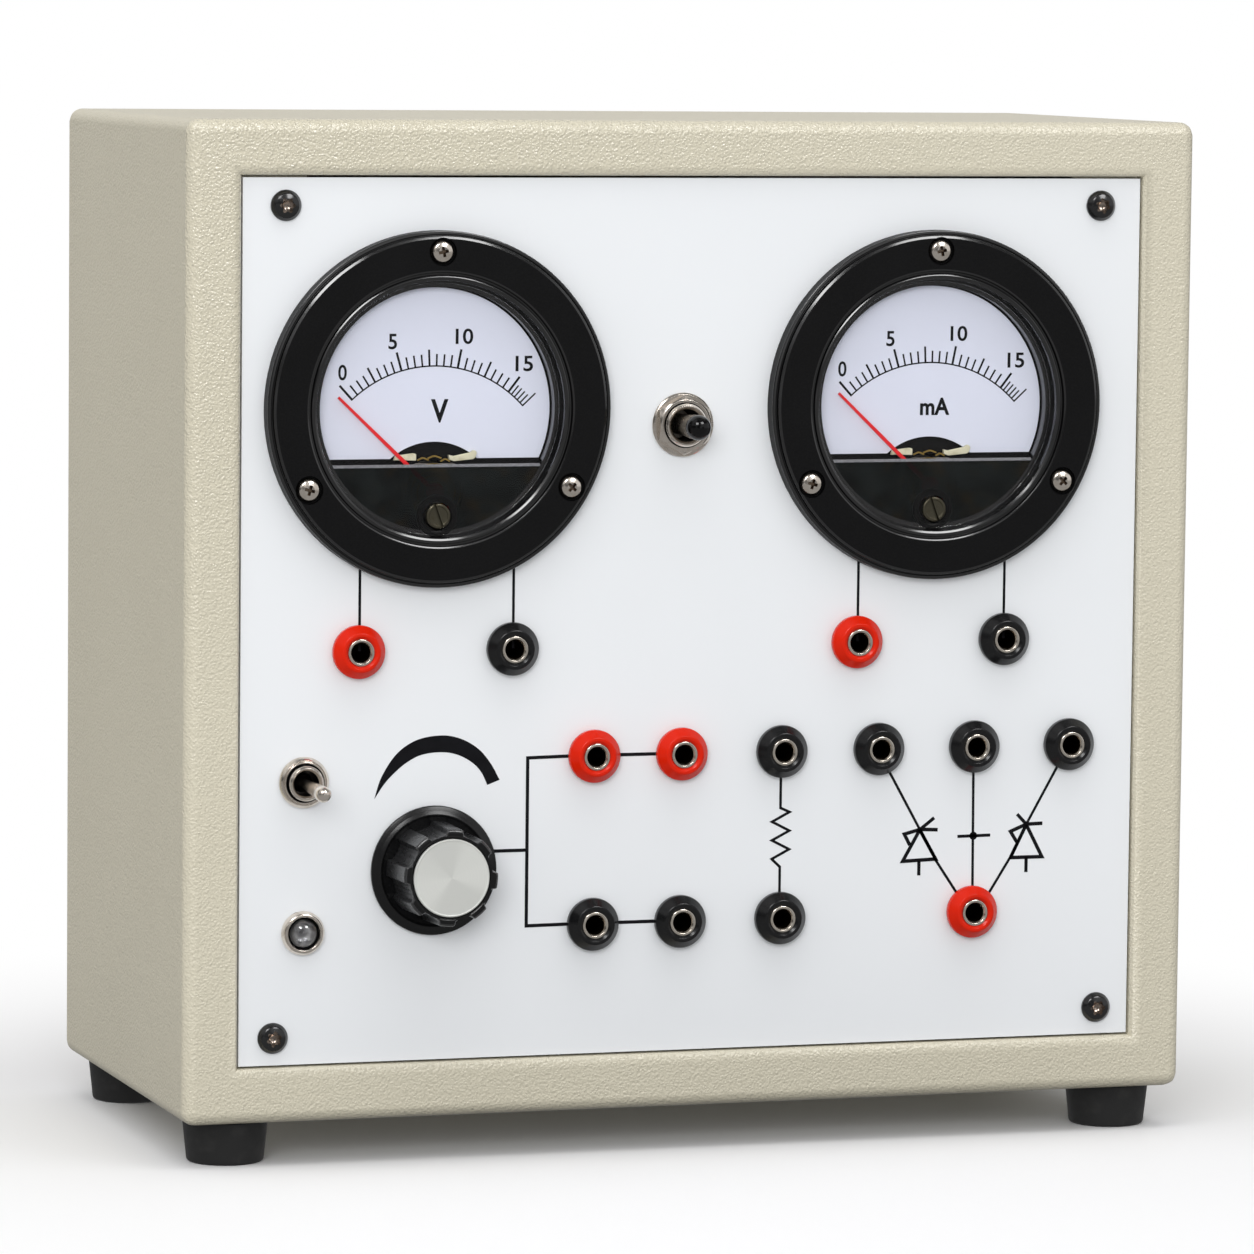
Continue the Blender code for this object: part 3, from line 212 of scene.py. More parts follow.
def covering():
    """Cream covering with a fine pebbled grain, glossier and glittering towards its upper left."""
    made = Finish("cream_covering", Specular_IOR_Level=0.75)
    where = made.warped(1.3, 0.3)
    pebbles = made.cells(0.54, where=where)
    fine = made.noise(0.4, 2.0)
    broad = made.noise(60.0, 4.0)
    pale = made.blend(broad, (0.645, 0.603, 0.475), (0.60, 0.558, 0.435))
    dark = made.blend(0.5, pale, (0.36, 0.33, 0.25))
    made.colour(made.blend(made.between(pebbles, 0.4, 0.8) * 0.25, pale, dark))
    shine = made.between(made.z - 0.6 * made.x, 0.15, 0.27) * made.between(made.y, -0.049, -0.045, 1.0, 0.0)
    made.roughness(0.36 - 0.22 * shine + 0.06 * fine)
    made.bump((1.0 - pebbles) * (0.8 + 0.5 * shine) + fine * 0.25 + made.noise(1.8, 2.0) * 0.4, 0.26)
    return made.material


def panel_sheet():
    """White laminate, satin, with the faintest unevenness."""
    made = Finish("white_laminate", Specular_IOR_Level=0.45)
    made.colour(made.blend(made.noise(55.0), (0.79, 0.81, 0.83), (0.83, 0.85, 0.87)))
    made.roughness(0.30 + 0.12 * made.noise(9.0))
    made.bump(made.noise(0.9, 2.0) + made.noise(30.0) * 2.0, 0.004)
    return made.material


def hardboard():
    """Brown hardboard with pressed fibres."""
    made = Finish("brown_hardboard")
    fibres = made.noise(1.4, 5.0, made.stretched(0.18, 1.0, 1.0))
    crossed = made.noise(1.2, 5.0, made.stretched(1.0, 1.0, 0.2))
    tone = made.between(fibres * 0.5 + crossed * 0.5, 0.35, 0.65)
    made.colour(made.blend(tone, (0.15, 0.085, 0.045), (0.33, 0.21, 0.125)))
    made.roughness(0.52 + 0.2 * crossed)
    made.bump(fibres + crossed + made.noise(0.4) * 0.4, 0.05)
    return made.material


def rubber():
    made = Finish("black_rubber", Specular_IOR_Level=0.4)
    dust = made.between(made.noise(5.0, 6.0), 0.5, 0.8)
    made.colour(made.blend(dust * 0.5, (0.014, 0.014, 0.014), (0.04, 0.039, 0.037)))
    made.roughness(0.46 + 0.2 * made.noise(2.0))
    made.bump(made.noise(0.25, 2.0), 0.02)
    return made.material


def moulded_black(name, grain, rough, shade, gloss):
    """Black moulding. A grain of 0.03 is a fine matt face, and 0.002 a polished one."""
    made = Finish(name, Specular_IOR_Level=gloss)
    fleck = made.between(made.noise(0.38, 2.0), 0.35, 0.75)
    tone = made.noise(12.0, 4.0) * 0.5 + fleck * 0.5
    made.colour(made.blend(tone, (shade * 0.6, shade * 0.6, shade * 0.65), (shade * 1.7, shade * 1.7, shade * 1.8)))
    made.roughness(rough + 0.08 * made.noise(1.6, 4.0))
    made.bump(made.noise(0.35, 2.0) + 0.4 * made.noise(1.1), grain)
    return made.material


def socket_red():
    made = Finish("red_moulding", Specular_IOR_Level=0.2)
    made.colour(made.blend(made.noise(6.0), (0.68, 0.017, 0.002), (0.60, 0.013, 0.002)))
    made.roughness(0.15 + 0.08 * made.noise(1.2, 4.0))
    made.bump(made.noise(2.2), 0.004)
    return made.material


def plated(name, colour, dull, rough, marks=0.006, metallic=1.0):
    """Plated metal with turning marks, faint stains and small scratches."""
    made = Finish(name, Metallic=metallic)
    radius, _ = made.around()
    rings = made.node("TexNoise", {"noise_dimensions": "1D"}, {"W": radius, "Scale": 7000.0, "Detail": 3.0})
    stain = made.between(made.noise(1.8, 5.0), 0.42, 0.78)
    made.colour(made.blend(stain * 0.6, colour, dull))
    made.roughness(rough + 0.14 * stain + 0.06 * rings)
    made.bump(rings + made.noise(0.35, 3.0) * 0.6, marks)
    return made.material


def spun_cap():
    """Spun aluminium: ring marks, and pale fan-shaped streaks of painted sheen in place of the rings' reflections."""
    made = Finish("spun_aluminium", Metallic=0.2)
    radius, angle = made.around()
    rings = made.node("TexNoise", {"noise_dimensions": "1D"}, {"W": radius, "Scale": 9000.0, "Detail": 4.0})
    # Painted sheen: the colour grows paler in broad sectors round the middle, standing in for the rings' reflections.
    painted_sheen_fans = made.maths("SINE", angle * 2.0 + 0.9) * 0.5 + made.maths("SINE", angle * 5.0 + 2.0) * 0.16 + 0.5
    tone = made.blend(made.between(painted_sheen_fans, 0.1, 1.0), (0.60, 0.61, 0.575), (0.70, 0.71, 0.67))
    made.colour(made.blend(made.between(rings, 0.3, 0.7) * 0.35, tone, (0.55, 0.55, 0.54)))
    made.roughness(0.36 + 0.1 * rings)
    made.bump(rings, 0.004)
    return made.material


def window_glass():
    """Thin clear window: it shows by its reflections alone, with a trace of dust."""
    made = Finish("window_glass", Metallic=1.0, Base_Color=(1.0, 1.0, 1.0))
    made.roughness(0.02 + 0.03 * made.noise(8.0))
    dust = made.between(made.noise(2.5, 5.0), 0.62, 0.9) * 0.012
    made.see_through(made.node("Fresnel", {}, {"IOR": 1.38}) * 0.4 + dust)
    return made.material


def smoked_cover():
    """Smoked clear moulding over the movement, which shows through it faintly."""
    made = Finish("smoked_cover", Specular_IOR_Level=0.06)
    cloud = made.between(made.noise(6.0, 4.0), 0.3, 0.7)
    brown = made.between(made.noise(4.0, 3.0), 0.5, 0.75)
    tone = made.blend(cloud, (0.002, 0.003, 0.003), (0.010, 0.013, 0.013))
    made.colour(made.blend(brown * 0.5, tone, (0.035, 0.024, 0.010)))
    made.roughness(0.12 + 0.06 * cloud)
    made.see_through(0.56 + 0.20 * cloud, (0.75, 0.73, 0.66))
    return made.material


def dial_card():
    """Pale printed dial, a little lilac, with a soft paper tooth."""
    made = Finish("dial_card", Specular_IOR_Level=0.35)
    made.colour(made.blend(made.noise(14.0), (0.76, 0.785, 0.90), (0.74, 0.765, 0.88)))
    made.roughness(0.42 + 0.16 * made.noise(1.5))
    made.bump(made.noise(0.5, 2.0), 0.004)
    return made.material


def printing_ink():
    made = Finish("printing_ink", Specular_IOR_Level=0.08)
    made.colour(made.blend(made.noise(2.5, 4.0), (0.004, 0.004, 0.005), (0.010, 0.010, 0.012)))
    made.roughness(0.40 + 0.15 * made.noise(1.0))
    made.bump(made.noise(0.3), 0.004)
    return made.material


def needle_paint():
    made = Finish("red_paint")
    made.colour(made.blend(made.noise(1.5), (0.86, 0.008, 0.015), (0.70, 0.005, 0.010)))
    made.roughness(0.34 + 0.1 * made.noise(0.8))
    made.bump(made.noise(0.3), 0.006)
    return made.material


def lamp_glass():
    """Clear domed lens that shows by its highlights alone."""
    made = Finish("lamp_glass", Metallic=1.0, Base_Color=(1.0, 1.0, 1.0))
    made.roughness(0.03 + 0.02 * made.noise(0.8))
    made.see_through(made.node("Fresnel", {}, {"IOR": 1.9}) + 0.02 * made.noise(0.5))
    return made.material


def lamp_inside():
    """Grey reflector under the lens, with painted reflections: dark across its middle, paler below, with soft
    spoke-shaped glints.
    """
    made = Finish("lamp_reflector", Metallic=0.3)
    radius, angle = made.around()
    # Painted reflections: paler in four spoke-shaped sectors and towards the bottom, dark in the middle, standing in
    # for light caught inside the lamp.
    painted_spokes = made.maths("SINE", angle * 4.0 + 0.6) * 0.5 + 0.5
    below = made.between(made.y, -0.0028, 0.0012, 1.0, 0.0)
    bright = made.between(radius, 0.0006, 0.0026) * (0.25 + 0.30 * painted_spokes + 0.5 * below)
    made.colour(made.blend(bright, (0.07, 0.07, 0.075), (0.90, 0.90, 0.90)))
    made.roughness(0.3 + 0.2 * made.noise(0.5))
    made.bump(made.noise(0.5), 0.02)
    return made.material


def core_steel():
    """Varnished laminations at the ends, and the taped coil between them."""
    made = Finish("transformer_core")
    sheets = made.maths("FRACT", made.y / (0.5 * MM))
    steel = made.blend(made.between(sheets, 0.1, 0.3), (0.03, 0.028, 0.028), (0.17, 0.15, 0.14))
    wound = made.between(made.maths("ABSOLUTE", made.y - 0.0215), 0.0092, 0.0096)
    tape = made.blend(made.noise(3.0, 4.0), (0.50, 0.36, 0.05), (0.62, 0.47, 0.10))
    made.colour(made.blend(wound, steel, tape))
    made.roughness(0.38 + 0.2 * made.noise(2.0))
    made.bump(sheets * 0.4 + made.noise(0.8), 0.05)
    return made.material


def board_lacquer():
    """Green board with tracks, its black capacitor and the bare heat sink."""
    made = Finish("board_lacquer")
    grid = made.between(made.cells(4.0, "DISTANCE_TO_EDGE"), 0.04, 0.09)
    green = made.blend(grid, (0.035, 0.26, 0.11), (0.008, 0.10, 0.035))
    above = made.between(made.z, 0.0310, 0.0314)
    sink = made.between(made.x, 0.045, 0.046)
    tall = made.blend(sink, (0.012, 0.014, 0.03), (0.45, 0.45, 0.46))
    made.colour(made.blend(above, green, tall))
    made.roughness(0.30 + 0.2 * made.noise(2.0))
    made.bump(grid + made.noise(0.8) * 0.5, 0.06)
    return made.material


# Shapes, in millimetres

def filleted(profile, steps):
    """Rounds each corner of a profile. A point is (radius, level), then its fillet, then the finish that
    follows it. Gives (radius, level, finish) for each point."""
    points = []
    last = len(profile) - 1
    for index, (radius, level, *more) in enumerate(profile):
        fillet = more[0] if more else 0
        finish = more[1] if len(more) > 1 else 0
        here = Vector((radius, level))
        if not fillet or index in (0, last):
            points.append((radius, level, finish))
            continue
        back = Vector(profile[index - 1][:2]) - here
        on = Vector(profile[index + 1][:2]) - here
        half = back.angle(on) / 2
        if half > 1.5:
            points.append((radius, level, finish))
            continue
        reach = min(fillet / math.tan(half), back.length * 0.49, on.length * 0.49)
        bend = reach * math.tan(half)
        middle = here + (back.normalized() + on.normalized()).normalized() * bend / math.sin(half)
        start = here + back.normalized() * reach - middle
        end = here + on.normalized() * reach - middle
        turn = start.angle(end)
        for step in range(steps + 1):
            share = step / steps
            spot = start * math.sin((1 - share) * turn) + end * math.sin(share * turn)
            spot = middle + spot / math.sin(turn)
            points.append((spot.x, spot.y, finish))
    return points


def turned(profile, sides=96, shape=None, centre=(0, 0), steps=4, inset=None, closed=False):
    """A turned solid round Z. With inset, a function of the angle, a point whose finish is 2 or more lies
    further in by it and takes the finish less 2."""
    shape = shape or bmesh.new()
    points = filleted(profile, steps)
    rings = []
    for radius, level, finish in points:
        ring = []
        for side in range(sides if radius > 1e-6 else 1):
            angle = 2 * math.pi * side / sides
            reach = radius - inset(angle) if inset and finish >= 2 else radius
            spot = (centre[0] + reach * math.cos(angle), centre[1] + reach * math.sin(angle), level)
            ring.append(shape.verts.new(spot))
        rings.append(ring)
    pairs = list(zip(rings, rings[1:], points))
    if closed:
        pairs.append((rings[-1], rings[0], points[-1]))
    for first, second, point in pairs:
        for side in range(sides):
            follow = (side + 1) % sides
            corners = [first[side % len(first)], first[follow % len(first)]]
            corners += [second[follow % len(second)], second[side % len(second)]]
            corners = list(dict.fromkeys(corners))
            if len(corners) > 2:
                shape.faces.new(corners).material_index = point[2] % 2
    return shape


def prism(outline, low, high, shape=None):
    shape = shape or bmesh.new()
    bottom = [shape.verts.new((x, y, low)) for x, y in outline]
    top = [shape.verts.new((x, y, high)) for x, y in outline]
    shape.faces.new(list(reversed(bottom)))
    shape.faces.new(top)
    for index, corner in enumerate(bottom):
        follow = (index + 1) % len(bottom)
        shape.faces.new([corner, bottom[follow], top[follow], top[index]])
    return shape


def box(low, high, shape=None):
    outline = [(low[0], low[1]), (high[0], low[1]), (high[0], high[1]), (low[0], high[1])]
    return prism(outline, low[2], high[2], shape)


def arc(radius, start, end, steps, centre=(0, 0)):
    """Points on an arc, from one angle in degrees to another."""
    points = []
    for index in range(steps + 1):
        angle = math.radians(start + (end - start) * index / steps)
        points.append((centre[0] + radius * math.cos(angle), centre[1] + radius * math.sin(angle)))
    return points


def flowing(points, steps=6):
    """A smooth line through points."""
    spots = [Vector(point) for point in points]
    spots = [spots[0] * 2 - spots[1]] + spots + [spots[-1] * 2 - spots[-2]]
    line = []
    for a, b, c, d in zip(spots, spots[1:], spots[2:], spots[3:]):
        for step in range(steps):
            t = step / steps
            line.append(0.5 * (2 * b + (c - a) * t + (2 * a - 5 * b + 4 * c - d) * t**2 + (3 * b - a - 3 * c + d) * t**3))
    return [tuple(spot) for spot in line] + [tuple(points[-1])]


def stroke(points, width, levels=PRINT_LEVELS, shape=None):
    """A printed line of even width through points, mitred at its corners."""
    spots = [Vector(point) for point in points]
    left, right = [], []
    for index, spot in enumerate(spots):
        before = (spot - spots[index - 1]).normalized() if index else None
        after = (spots[index + 1] - spot).normalized() if index + 1 < len(spots) else None
        along = ((before or after) + (after or before)).normalized()
        across = Vector((-along.y, along.x))
        plain = before or after
        stretch = 1 / max(0.3, abs(across.dot(Vector((-plain.y, plain.x)))))
        left.append(spot + across * width / 2 * stretch)
        right.append(spot - across * width / 2 * stretch)
    outline = [tuple(spot) for spot in left + right[::-1]]
    return prism(outline, *levels, shape)


def lettering(text, height, centre, shape, levels, width, weight=0.016):
    """Letters of a given height round a centre, joined to the shape."""
    curve = bpy.data.curves.new("letters", "FONT")
    curve.body = text
    curve.resolution_u = 6
    curve.offset = weight
    holder = bpy.data.objects.new("letters", curve)
    bpy.context.scene.collection.objects.link(holder)
    bpy.context.view_layer.update()
    flat = bmesh.new()
    flat.from_mesh(holder.to_mesh())
    spots = [vert.co for vert in flat.verts]
    low = [min(spot[axis] for spot in spots) for axis in (0, 1)]
    high = [max(spot[axis] for spot in spots) for axis in (0, 1)]
    tall = height / (high[1] - low[1])
    wide = width / (high[0] - low[0])
    middle = Vector(((low[0] + high[0]) / 2, (low[1] + high[1]) / 2, 0))
    for vert in flat.verts:
        away = vert.co - middle
        vert.co = Vector((centre[0] + away.x * wide, centre[1] + away.y * tall, levels[0]))
    raised = bmesh.ops.extrude_face_region(flat, geom=flat.faces[:] + flat.edges[:] + flat.verts[:])
    for item in raised["geom"]:
        if isinstance(item, bmesh.types.BMVert):
            item.co.z = levels[1]
    mesh = bpy.data.meshes.new("letters")
    flat.to_mesh(mesh)
    flat.free()
    shape.from_mesh(mesh)
    bpy.data.objects.remove(holder)
    bpy.data.curves.remove(curve)
    bpy.data.meshes.remove(mesh)


def new_object(name, shape, finishes, place):
    """An object from a shape in millimetres, standing at a place given in metres."""
    shape.transform(Matrix.Scale(MM, 4))
    bmesh.ops.recalc_face_normals(shape, faces=shape.faces)
    mesh = bpy.data.meshes.new(name)
    shape.to_mesh(mesh)
    shape.free()
    for finish in finishes:
        mesh.materials.append(finish)
    made = bpy.data.objects.new(name, mesh)
    bpy.context.scene.collection.objects.link(made)
    made.matrix_world = place
    return made


def carve(target, shape, operation="DIFFERENCE", finish=0):
    """Cuts a shape out of a piece, or joins it on. The shape has the piece's own directions, and its faces
    take the piece's finish of that number."""
    for face in shape.faces:
        face.material_index = finish
    tool = new_object("tool", shape, list(target.data.materials), target.matrix_world.copy())
    change = target.modifiers.new("change", "BOOLEAN")
    change.operation = operation
    change.solver = "EXACT"
    change.object = tool
    bpy.context.view_layer.update()
    graph = bpy.context.evaluated_depsgraph_get()
    mesh = bpy.data.meshes.new_from_object(target.evaluated_get(graph))
    target.modifiers.clear()
    target.data = mesh
    bpy.data.objects.remove(tool)


def settle(made, body="case", stands_for=(), sharp=34):
    """Smooths a piece and seats it on its body."""
    made.data.shade_smooth()
    made.data.set_sharp_from_angle(angle=math.radians(sharp))
    even = made.modifiers.new("even_shading", "WEIGHTED_NORMAL")
    even.keep_sharp = True
    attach(made, body)
    if stands_for:
        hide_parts(*stands_for)
    return made


def make(name, shape, finishes, place, body="case", stands_for=(), sharp=34):
    finishes = finishes if isinstance(finishes, list) else [finishes]
    return settle(new_object(name, shape, finishes, place), body, stands_for, sharp)


# Places

def on_panel(across=0.0, up=0.0, out=0.0):
    """Stands a piece on the panel's face: X across, Y up, Z out to the user."""
    axes = Matrix(((1, 0, 0, 0), (0, 0, -1, PANEL_FACE), (0, 1, 0, UNDERSIDE), (0, 0, 0, 1)))
    return axes @ Matrix.Translation(Vector((across, up, out)) * MM)


def on_back(across, up, out=0.0):
    axes = Matrix(((-1, 0, 0, 0), (0, 0, 1, BACK_FACE), (0, 1, 0, UNDERSIDE), (0, 0, 0, 1)))
    return axes @ Matrix.Translation(Vector((across, up, out)) * MM)


def centre_of(node):
    """Middle of a node as across and up, in millimetres."""
    low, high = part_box(node)
    middle = (low + high) / 2
    return middle.x / MM, (middle.z - UNDERSIDE) / MM


# Pieces

def build_case(finish):
    """The covered box: rounded outside, rolled in at the opening, with its corner posts."""
    low, high = (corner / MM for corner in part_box("cabinet"))
    board, outer = 12.5, 3.0
    roll_wide, roll_deep = 2.5, 1.8
    shell = box(tuple(low), tuple(high))
    bmesh.ops.bevel(shell, geom=shell.edges[:], offset=outer, segments=8, profile=0.5, affect="EDGES")
    case = new_object("case_shell", shell, [finish], Matrix.Identity(4))
    sections = [(low.y - 2, roll_wide)]
    steps = 8
    for step in range(steps + 1):
        angle = math.pi / 2 * step / steps
        sections.append((low.y + roll_deep * (1 - math.cos(angle)), roll_wide * (1 - math.sin(angle))))
    sections.append((high.y + 2, 0))
    opening = bmesh.new()
    loops = []
    for depth, more in sections:
        wide = (high.x - low.x) / 2 - board + more
        bottom = low.z + board - more
        top = high.z - board + more
        corners = [(-wide, bottom), (wide, bottom), (wide, top), (-wide, top)]
        loops.append([opening.verts.new((x, depth, z)) for x, z in corners])
    for first, second in zip(loops, loops[1:]):
        for index in range(4):
            follow = (index + 1) % 4
            opening.faces.new([first[index], first[follow], second[follow], second[index]])
    opening.faces.new(loops[0])
    opening.faces.new(loops[-1])
    carve(case, opening)
    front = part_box("front_panel")[1].y / MM + 0.3
    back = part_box("back_panel")[0].y / MM - 0.3
    post = 16.0
    wide = high.x - board
    for side in (-1, 1):
        for level in ((low.z + board - 1, low.z + board + post), (high.z - board - post, high.z - board + 1)):
            across = sorted((side * (wide - post), side * (wide + 1)))
            carve(case, box((across[0], front, level[0]), (across[1], back, level[1])), "UNION")
    settle(case, stands_for=["cabinet"], sharp=50)


def build_housing(meter, place, finishes):
    """Bezel with its glossy bevel, groove and ring, the window's seat, the chamber and the can."""
    seat = GLASS_LEVELS[0] - 0.3
    top = FLANGE_THICKNESS
    profile = [
        (0, -28.4),
        (27.7, -28.4, 0.6),
        (27.7, -4.4),
        (29.6, -4.4, 0.3),
        (29.6, 0.3),
        (FLANGE_RADIUS, 0.3, 0.2),
        (FLANGE_RADIUS, 3.85, 0.3, 1),
        (FLANGE_RADIUS - 0.75, 3.95, 0.1, 1),
        (FLANGE_RADIUS - 0.9, 3.6, 0.05, 1),
        (FLANGE_RADIUS - 1.1, 3.6, 0.05, 1),
        (FLANGE_RADIUS - 1.2, top - 0.32, 0.15, 1),
        (FLANGE_RADIUS - 1.8, top, 0.25),
        (31.15, top, 0.05, 1),
        (30.75, top - 0.15, 0.15, 1),
        (30.65, top - 1.1, 0.12, 1),
        (30.15, top - 1.1, 0.12, 1),
        (30.05, top - 0.35, 0.12, 1),
        (29.7, top - 0.15, 0.2, 1),
        (29.4, top - 0.15, 0.2, 1),
        (28.9, top - 0.42, 0.15, 1),
        (28.8, top - 1.2, 0.1, 1),
        (28.6, seat, 0.0, 1),
        (SIGHT_RADIUS, seat, 0.0, 1),
        (SIGHT_RADIUS, DIAL_SEAT),
        (0, DIAL_SEAT),
    ]
    housing = new_object(meter + "_bezel", turned(profile, 144), finishes, place)
    holes = bmesh.new()
    for index in range(3):
        angle = math.pi / 2 + 2 * math.pi * index / 3
        centre = (SCREW_CIRCLE * math.cos(angle), SCREW_CIRCLE * math.sin(angle))
        turned([(0, top - 1.4), (3.2, top - 1.4, 0.2), (3.2, top + 1), (0, top + 1)], 48, holes, centre)
    turned([(0, -10.2), (7.4, -10.2), (7.4, -1.5), (0, -1.5)], 48, holes, (0, -PIVOT_DROP))
    carve(housing, holes)
    settle(housing, stands_for=[meter + "_housing"])


def build_cover(meter, place, finish, edge):
    """The smoked plate below the dial, with a pale strip on its front edge as a painted highlight, and the well of the
    zero adjuster.
    """
    low, high = COVER_LEVELS
    reach = SIGHT_RADIUS + 0.05
    chamfer = 0.5
    shape = bmesh.new()
    loops = []
    for level, drop in ((low, COVER_DROP), (high - chamfer, COVER_DROP), (high, COVER_DROP + chamfer)):
        angle = math.degrees(math.asin(drop / reach))
        loops.append([shape.verts.new((x, y, level)) for x, y in arc(reach, 180 + angle, 360 - angle, 72)])
    for first, second in zip(loops, loops[1:]):
        for index, corner in enumerate(first):
            follow = (index + 1) % len(first)
            shape.faces.new([corner, first[follow], second[follow], second[index]])
    shape.faces.new(loops[0])
    shape.faces.new(loops[-1])
    cover = new_object(meter + "_lower_cover", shape, [finish], place)
    hole = turned([(0, low - 1), (3.15, low - 1), (3.15, high + 1), (0, high + 1)], 48, None, (0, -ZERO_DROP))
    carve(cover, hole)
    settle(cover)
    half = math.sqrt(SIGHT_RADIUS**2 - COVER_DROP**2) - 0.15
    # The pale strip along the chamfered front edge is a painted highlight, where the edge catches the light.
    lip = bmesh.new()
    section = ((0.0, high - chamfer), (0.16, high - chamfer), (0.16, high - chamfer + 0.12),
               (-chamfer + 0.06, high + 0.08), (-chamfer, high + 0.02))
    ends = [[lip.verts.new((x, y - COVER_DROP, z)) for y, z in section] for x in (-half, half)]
    for index in range(len(section)):
        follow = (index + 1) % len(section)
        lip.faces.new([ends[0][index], ends[0][follow], ends[1][follow], ends[1][index]])
    for end in ends:
        lip.faces.new(end)
    make(meter + "_cover_edge", lip, edge, place)


def build_window(meter, place, finish):
    low, high = GLASS_LEVELS
    profile = [(0, low), (GLASS_RADIUS, low, 0.15), (GLASS_RADIUS, high, 0.15), (0, high)]
    window = new_object(meter + "_glass", turned(profile, 144), [finish], place)
    hole = turned([(0, low - 1), (3.15, low - 1), (3.15, high + 1), (0, high + 1)], 48, None, (0, -ZERO_DROP))
    carve(window, hole)
    settle(window, stands_for=[meter + "_window"])


def build_dial(meter, place, card, ink, unit, unit_height, unit_width):
    """The card with its bite for the movement, and the printed scale, figures and unit."""
    radius = SIGHT_RADIUS - 0.3
    corner = math.degrees(math.asin(DIAL_DROP / radius))
    outline = arc(radius, -corner, 180 + corner, 120)
    bite = math.degrees(math.acos((BITE_DROP - DIAL_DROP) / BITE_RADIUS))
    outline += arc(BITE_RADIUS, 90 + bite, 90 - bite, 40, (0, -BITE_DROP))
    card_shape = prism(outline, *DIAL_LEVELS)
    make(meter + "_dial_card", card_shape, card, place, stands_for=[meter + "_dial"])
    levels = (DIAL_LEVELS[1], DIAL_LEVELS[1] + 0.03)
    print_shape = bmesh.new()
    pivot = (0, -PIVOT_DROP)

    def spot(angle, reach):
        turn = math.radians(angle)
        return (reach * math.sin(turn), pivot[1] + reach * math.cos(turn))

    line = [spot(SCALE_START + (SCALE_END - SCALE_START) * index / 60, SCALE_RADIUS) for index in range(61)]
    stroke(line, 0.32, levels, print_shape)
    for index in range(25):
        reach = 32.6 if index % 8 == 0 else 32.0 if index % 4 == 0 else 31.0
        width = 0.52 if index % 8 == 0 else 0.46 if index % 4 == 0 else 0.40
        angle = SCALE_START + index * SCALE_STEP
        stroke([spot(angle, SCALE_RADIUS - 0.15), spot(angle, reach)], width, levels, print_shape)
    last = SCALE_START + 24 * SCALE_STEP
    for index in range(1, 6):
        reach = 32.4 if index == 5 else 30.9
        angle = last + index * CLOSE_STEP
        stroke([spot(angle, SCALE_RADIUS - 0.15), spot(angle, reach)], 0.34, levels, print_shape)
    for text, angle, reach, width in (("0", -38.4, 34.4, 2.0), ("5", -16.1, 35.2, 2.0),
                                      ("10", 11.3, 35.6, 4.1), ("15", 36.3, 35.6, 4.1)):
        lettering(text, 3.5, spot(angle, reach), print_shape, levels, width)
    lettering(unit, unit_height, (1.3, -0.6), print_shape, levels, unit_width, 0.028)
    make(meter + "_scale_print", print_shape, ink, place)


def build_movement(meter, place, steel, brass, gold):
    """Bridge, core and pole disc, the two soldered tabs, and the hairspring round the pivot."""
    bridge = prism([(-6.2, -20.8), (6.2, -20.8), (6.2, -12.9), (4.2, -12.3), (-4.2, -12.3), (-6.2, -12.9)], -1.1, -0.6)
    bmesh.ops.bevel(bridge, geom=bridge.edges[:], offset=0.12, segments=2, profile=0.5, affect="EDGES")
    core = turned([(0, -9.9), (6.8, -9.9, 0.3), (6.8, -7.9, 0.3), (4.0, -7.9), (4.0, -0.9, 0.2), (0, -0.9)], 64)
    for vert in core.verts:
        vert.co.y -= PIVOT_DROP
    mesh = bpy.data.meshes.new("core")
    core.to_mesh(mesh)
    bridge.from_mesh(mesh)
    bpy.data.meshes.remove(mesh)
    core.free()
    make(meter + "_bridge", bridge, steel, place, stands_for=[meter + "_movement"])
    left = [(-9.6, -11.3), (-9.2, -10.2), (-5.0, -9.7), (-4.4, -9.9), (-4.4, -11.4), (-5.2, -11.3)]
    right = [(3.2, -10.1), (4.6, -10.6), (8.2, -9.9), (8.9, -9.2), (9.5, -9.2), (9.8, -9.8), (9.4, -10.9), (8.8, -11.2),
             (4.4, -11.6), (3.3, -11.2)]
    tabs = bmesh.new()
    for outline in (left, right):
        prism([(x, y - 0.3) for x, y in outline], -1.3, -0.2, tabs)
    bmesh.ops.bevel(tabs, geom=tabs.edges[:], offset=0.16, segments=2, profile=0.5, affect="EDGES")
    make(meter + "_tabs", tabs, brass, place)
    coil = bmesh.new()
    turns, points = 3.5, []
    for step in range(120):
        angle = 2 * math.pi * turns * step / 119
        reach = 2.0 + 4.8 * step / 119
        points.append((reach * math.cos(angle), -PIVOT_DROP + reach * math.sin(angle)))
    stroke(points, 0.22, (-0.55, -0.33), coil)
    for left_end, right_end, drop in ((-4.0, -1.4, 11.6), (-1.6, 1.6, 11.2), (1.4, 3.6, 11.9)):
        stroke(flowing([(left_end, -drop), ((left_end + right_end) / 2, 0.5 - drop), (right_end, -drop)]), 0.34,
               (-1.0, -0.7), coil)
    make(meter + "_hairspring", coil, gold, place)


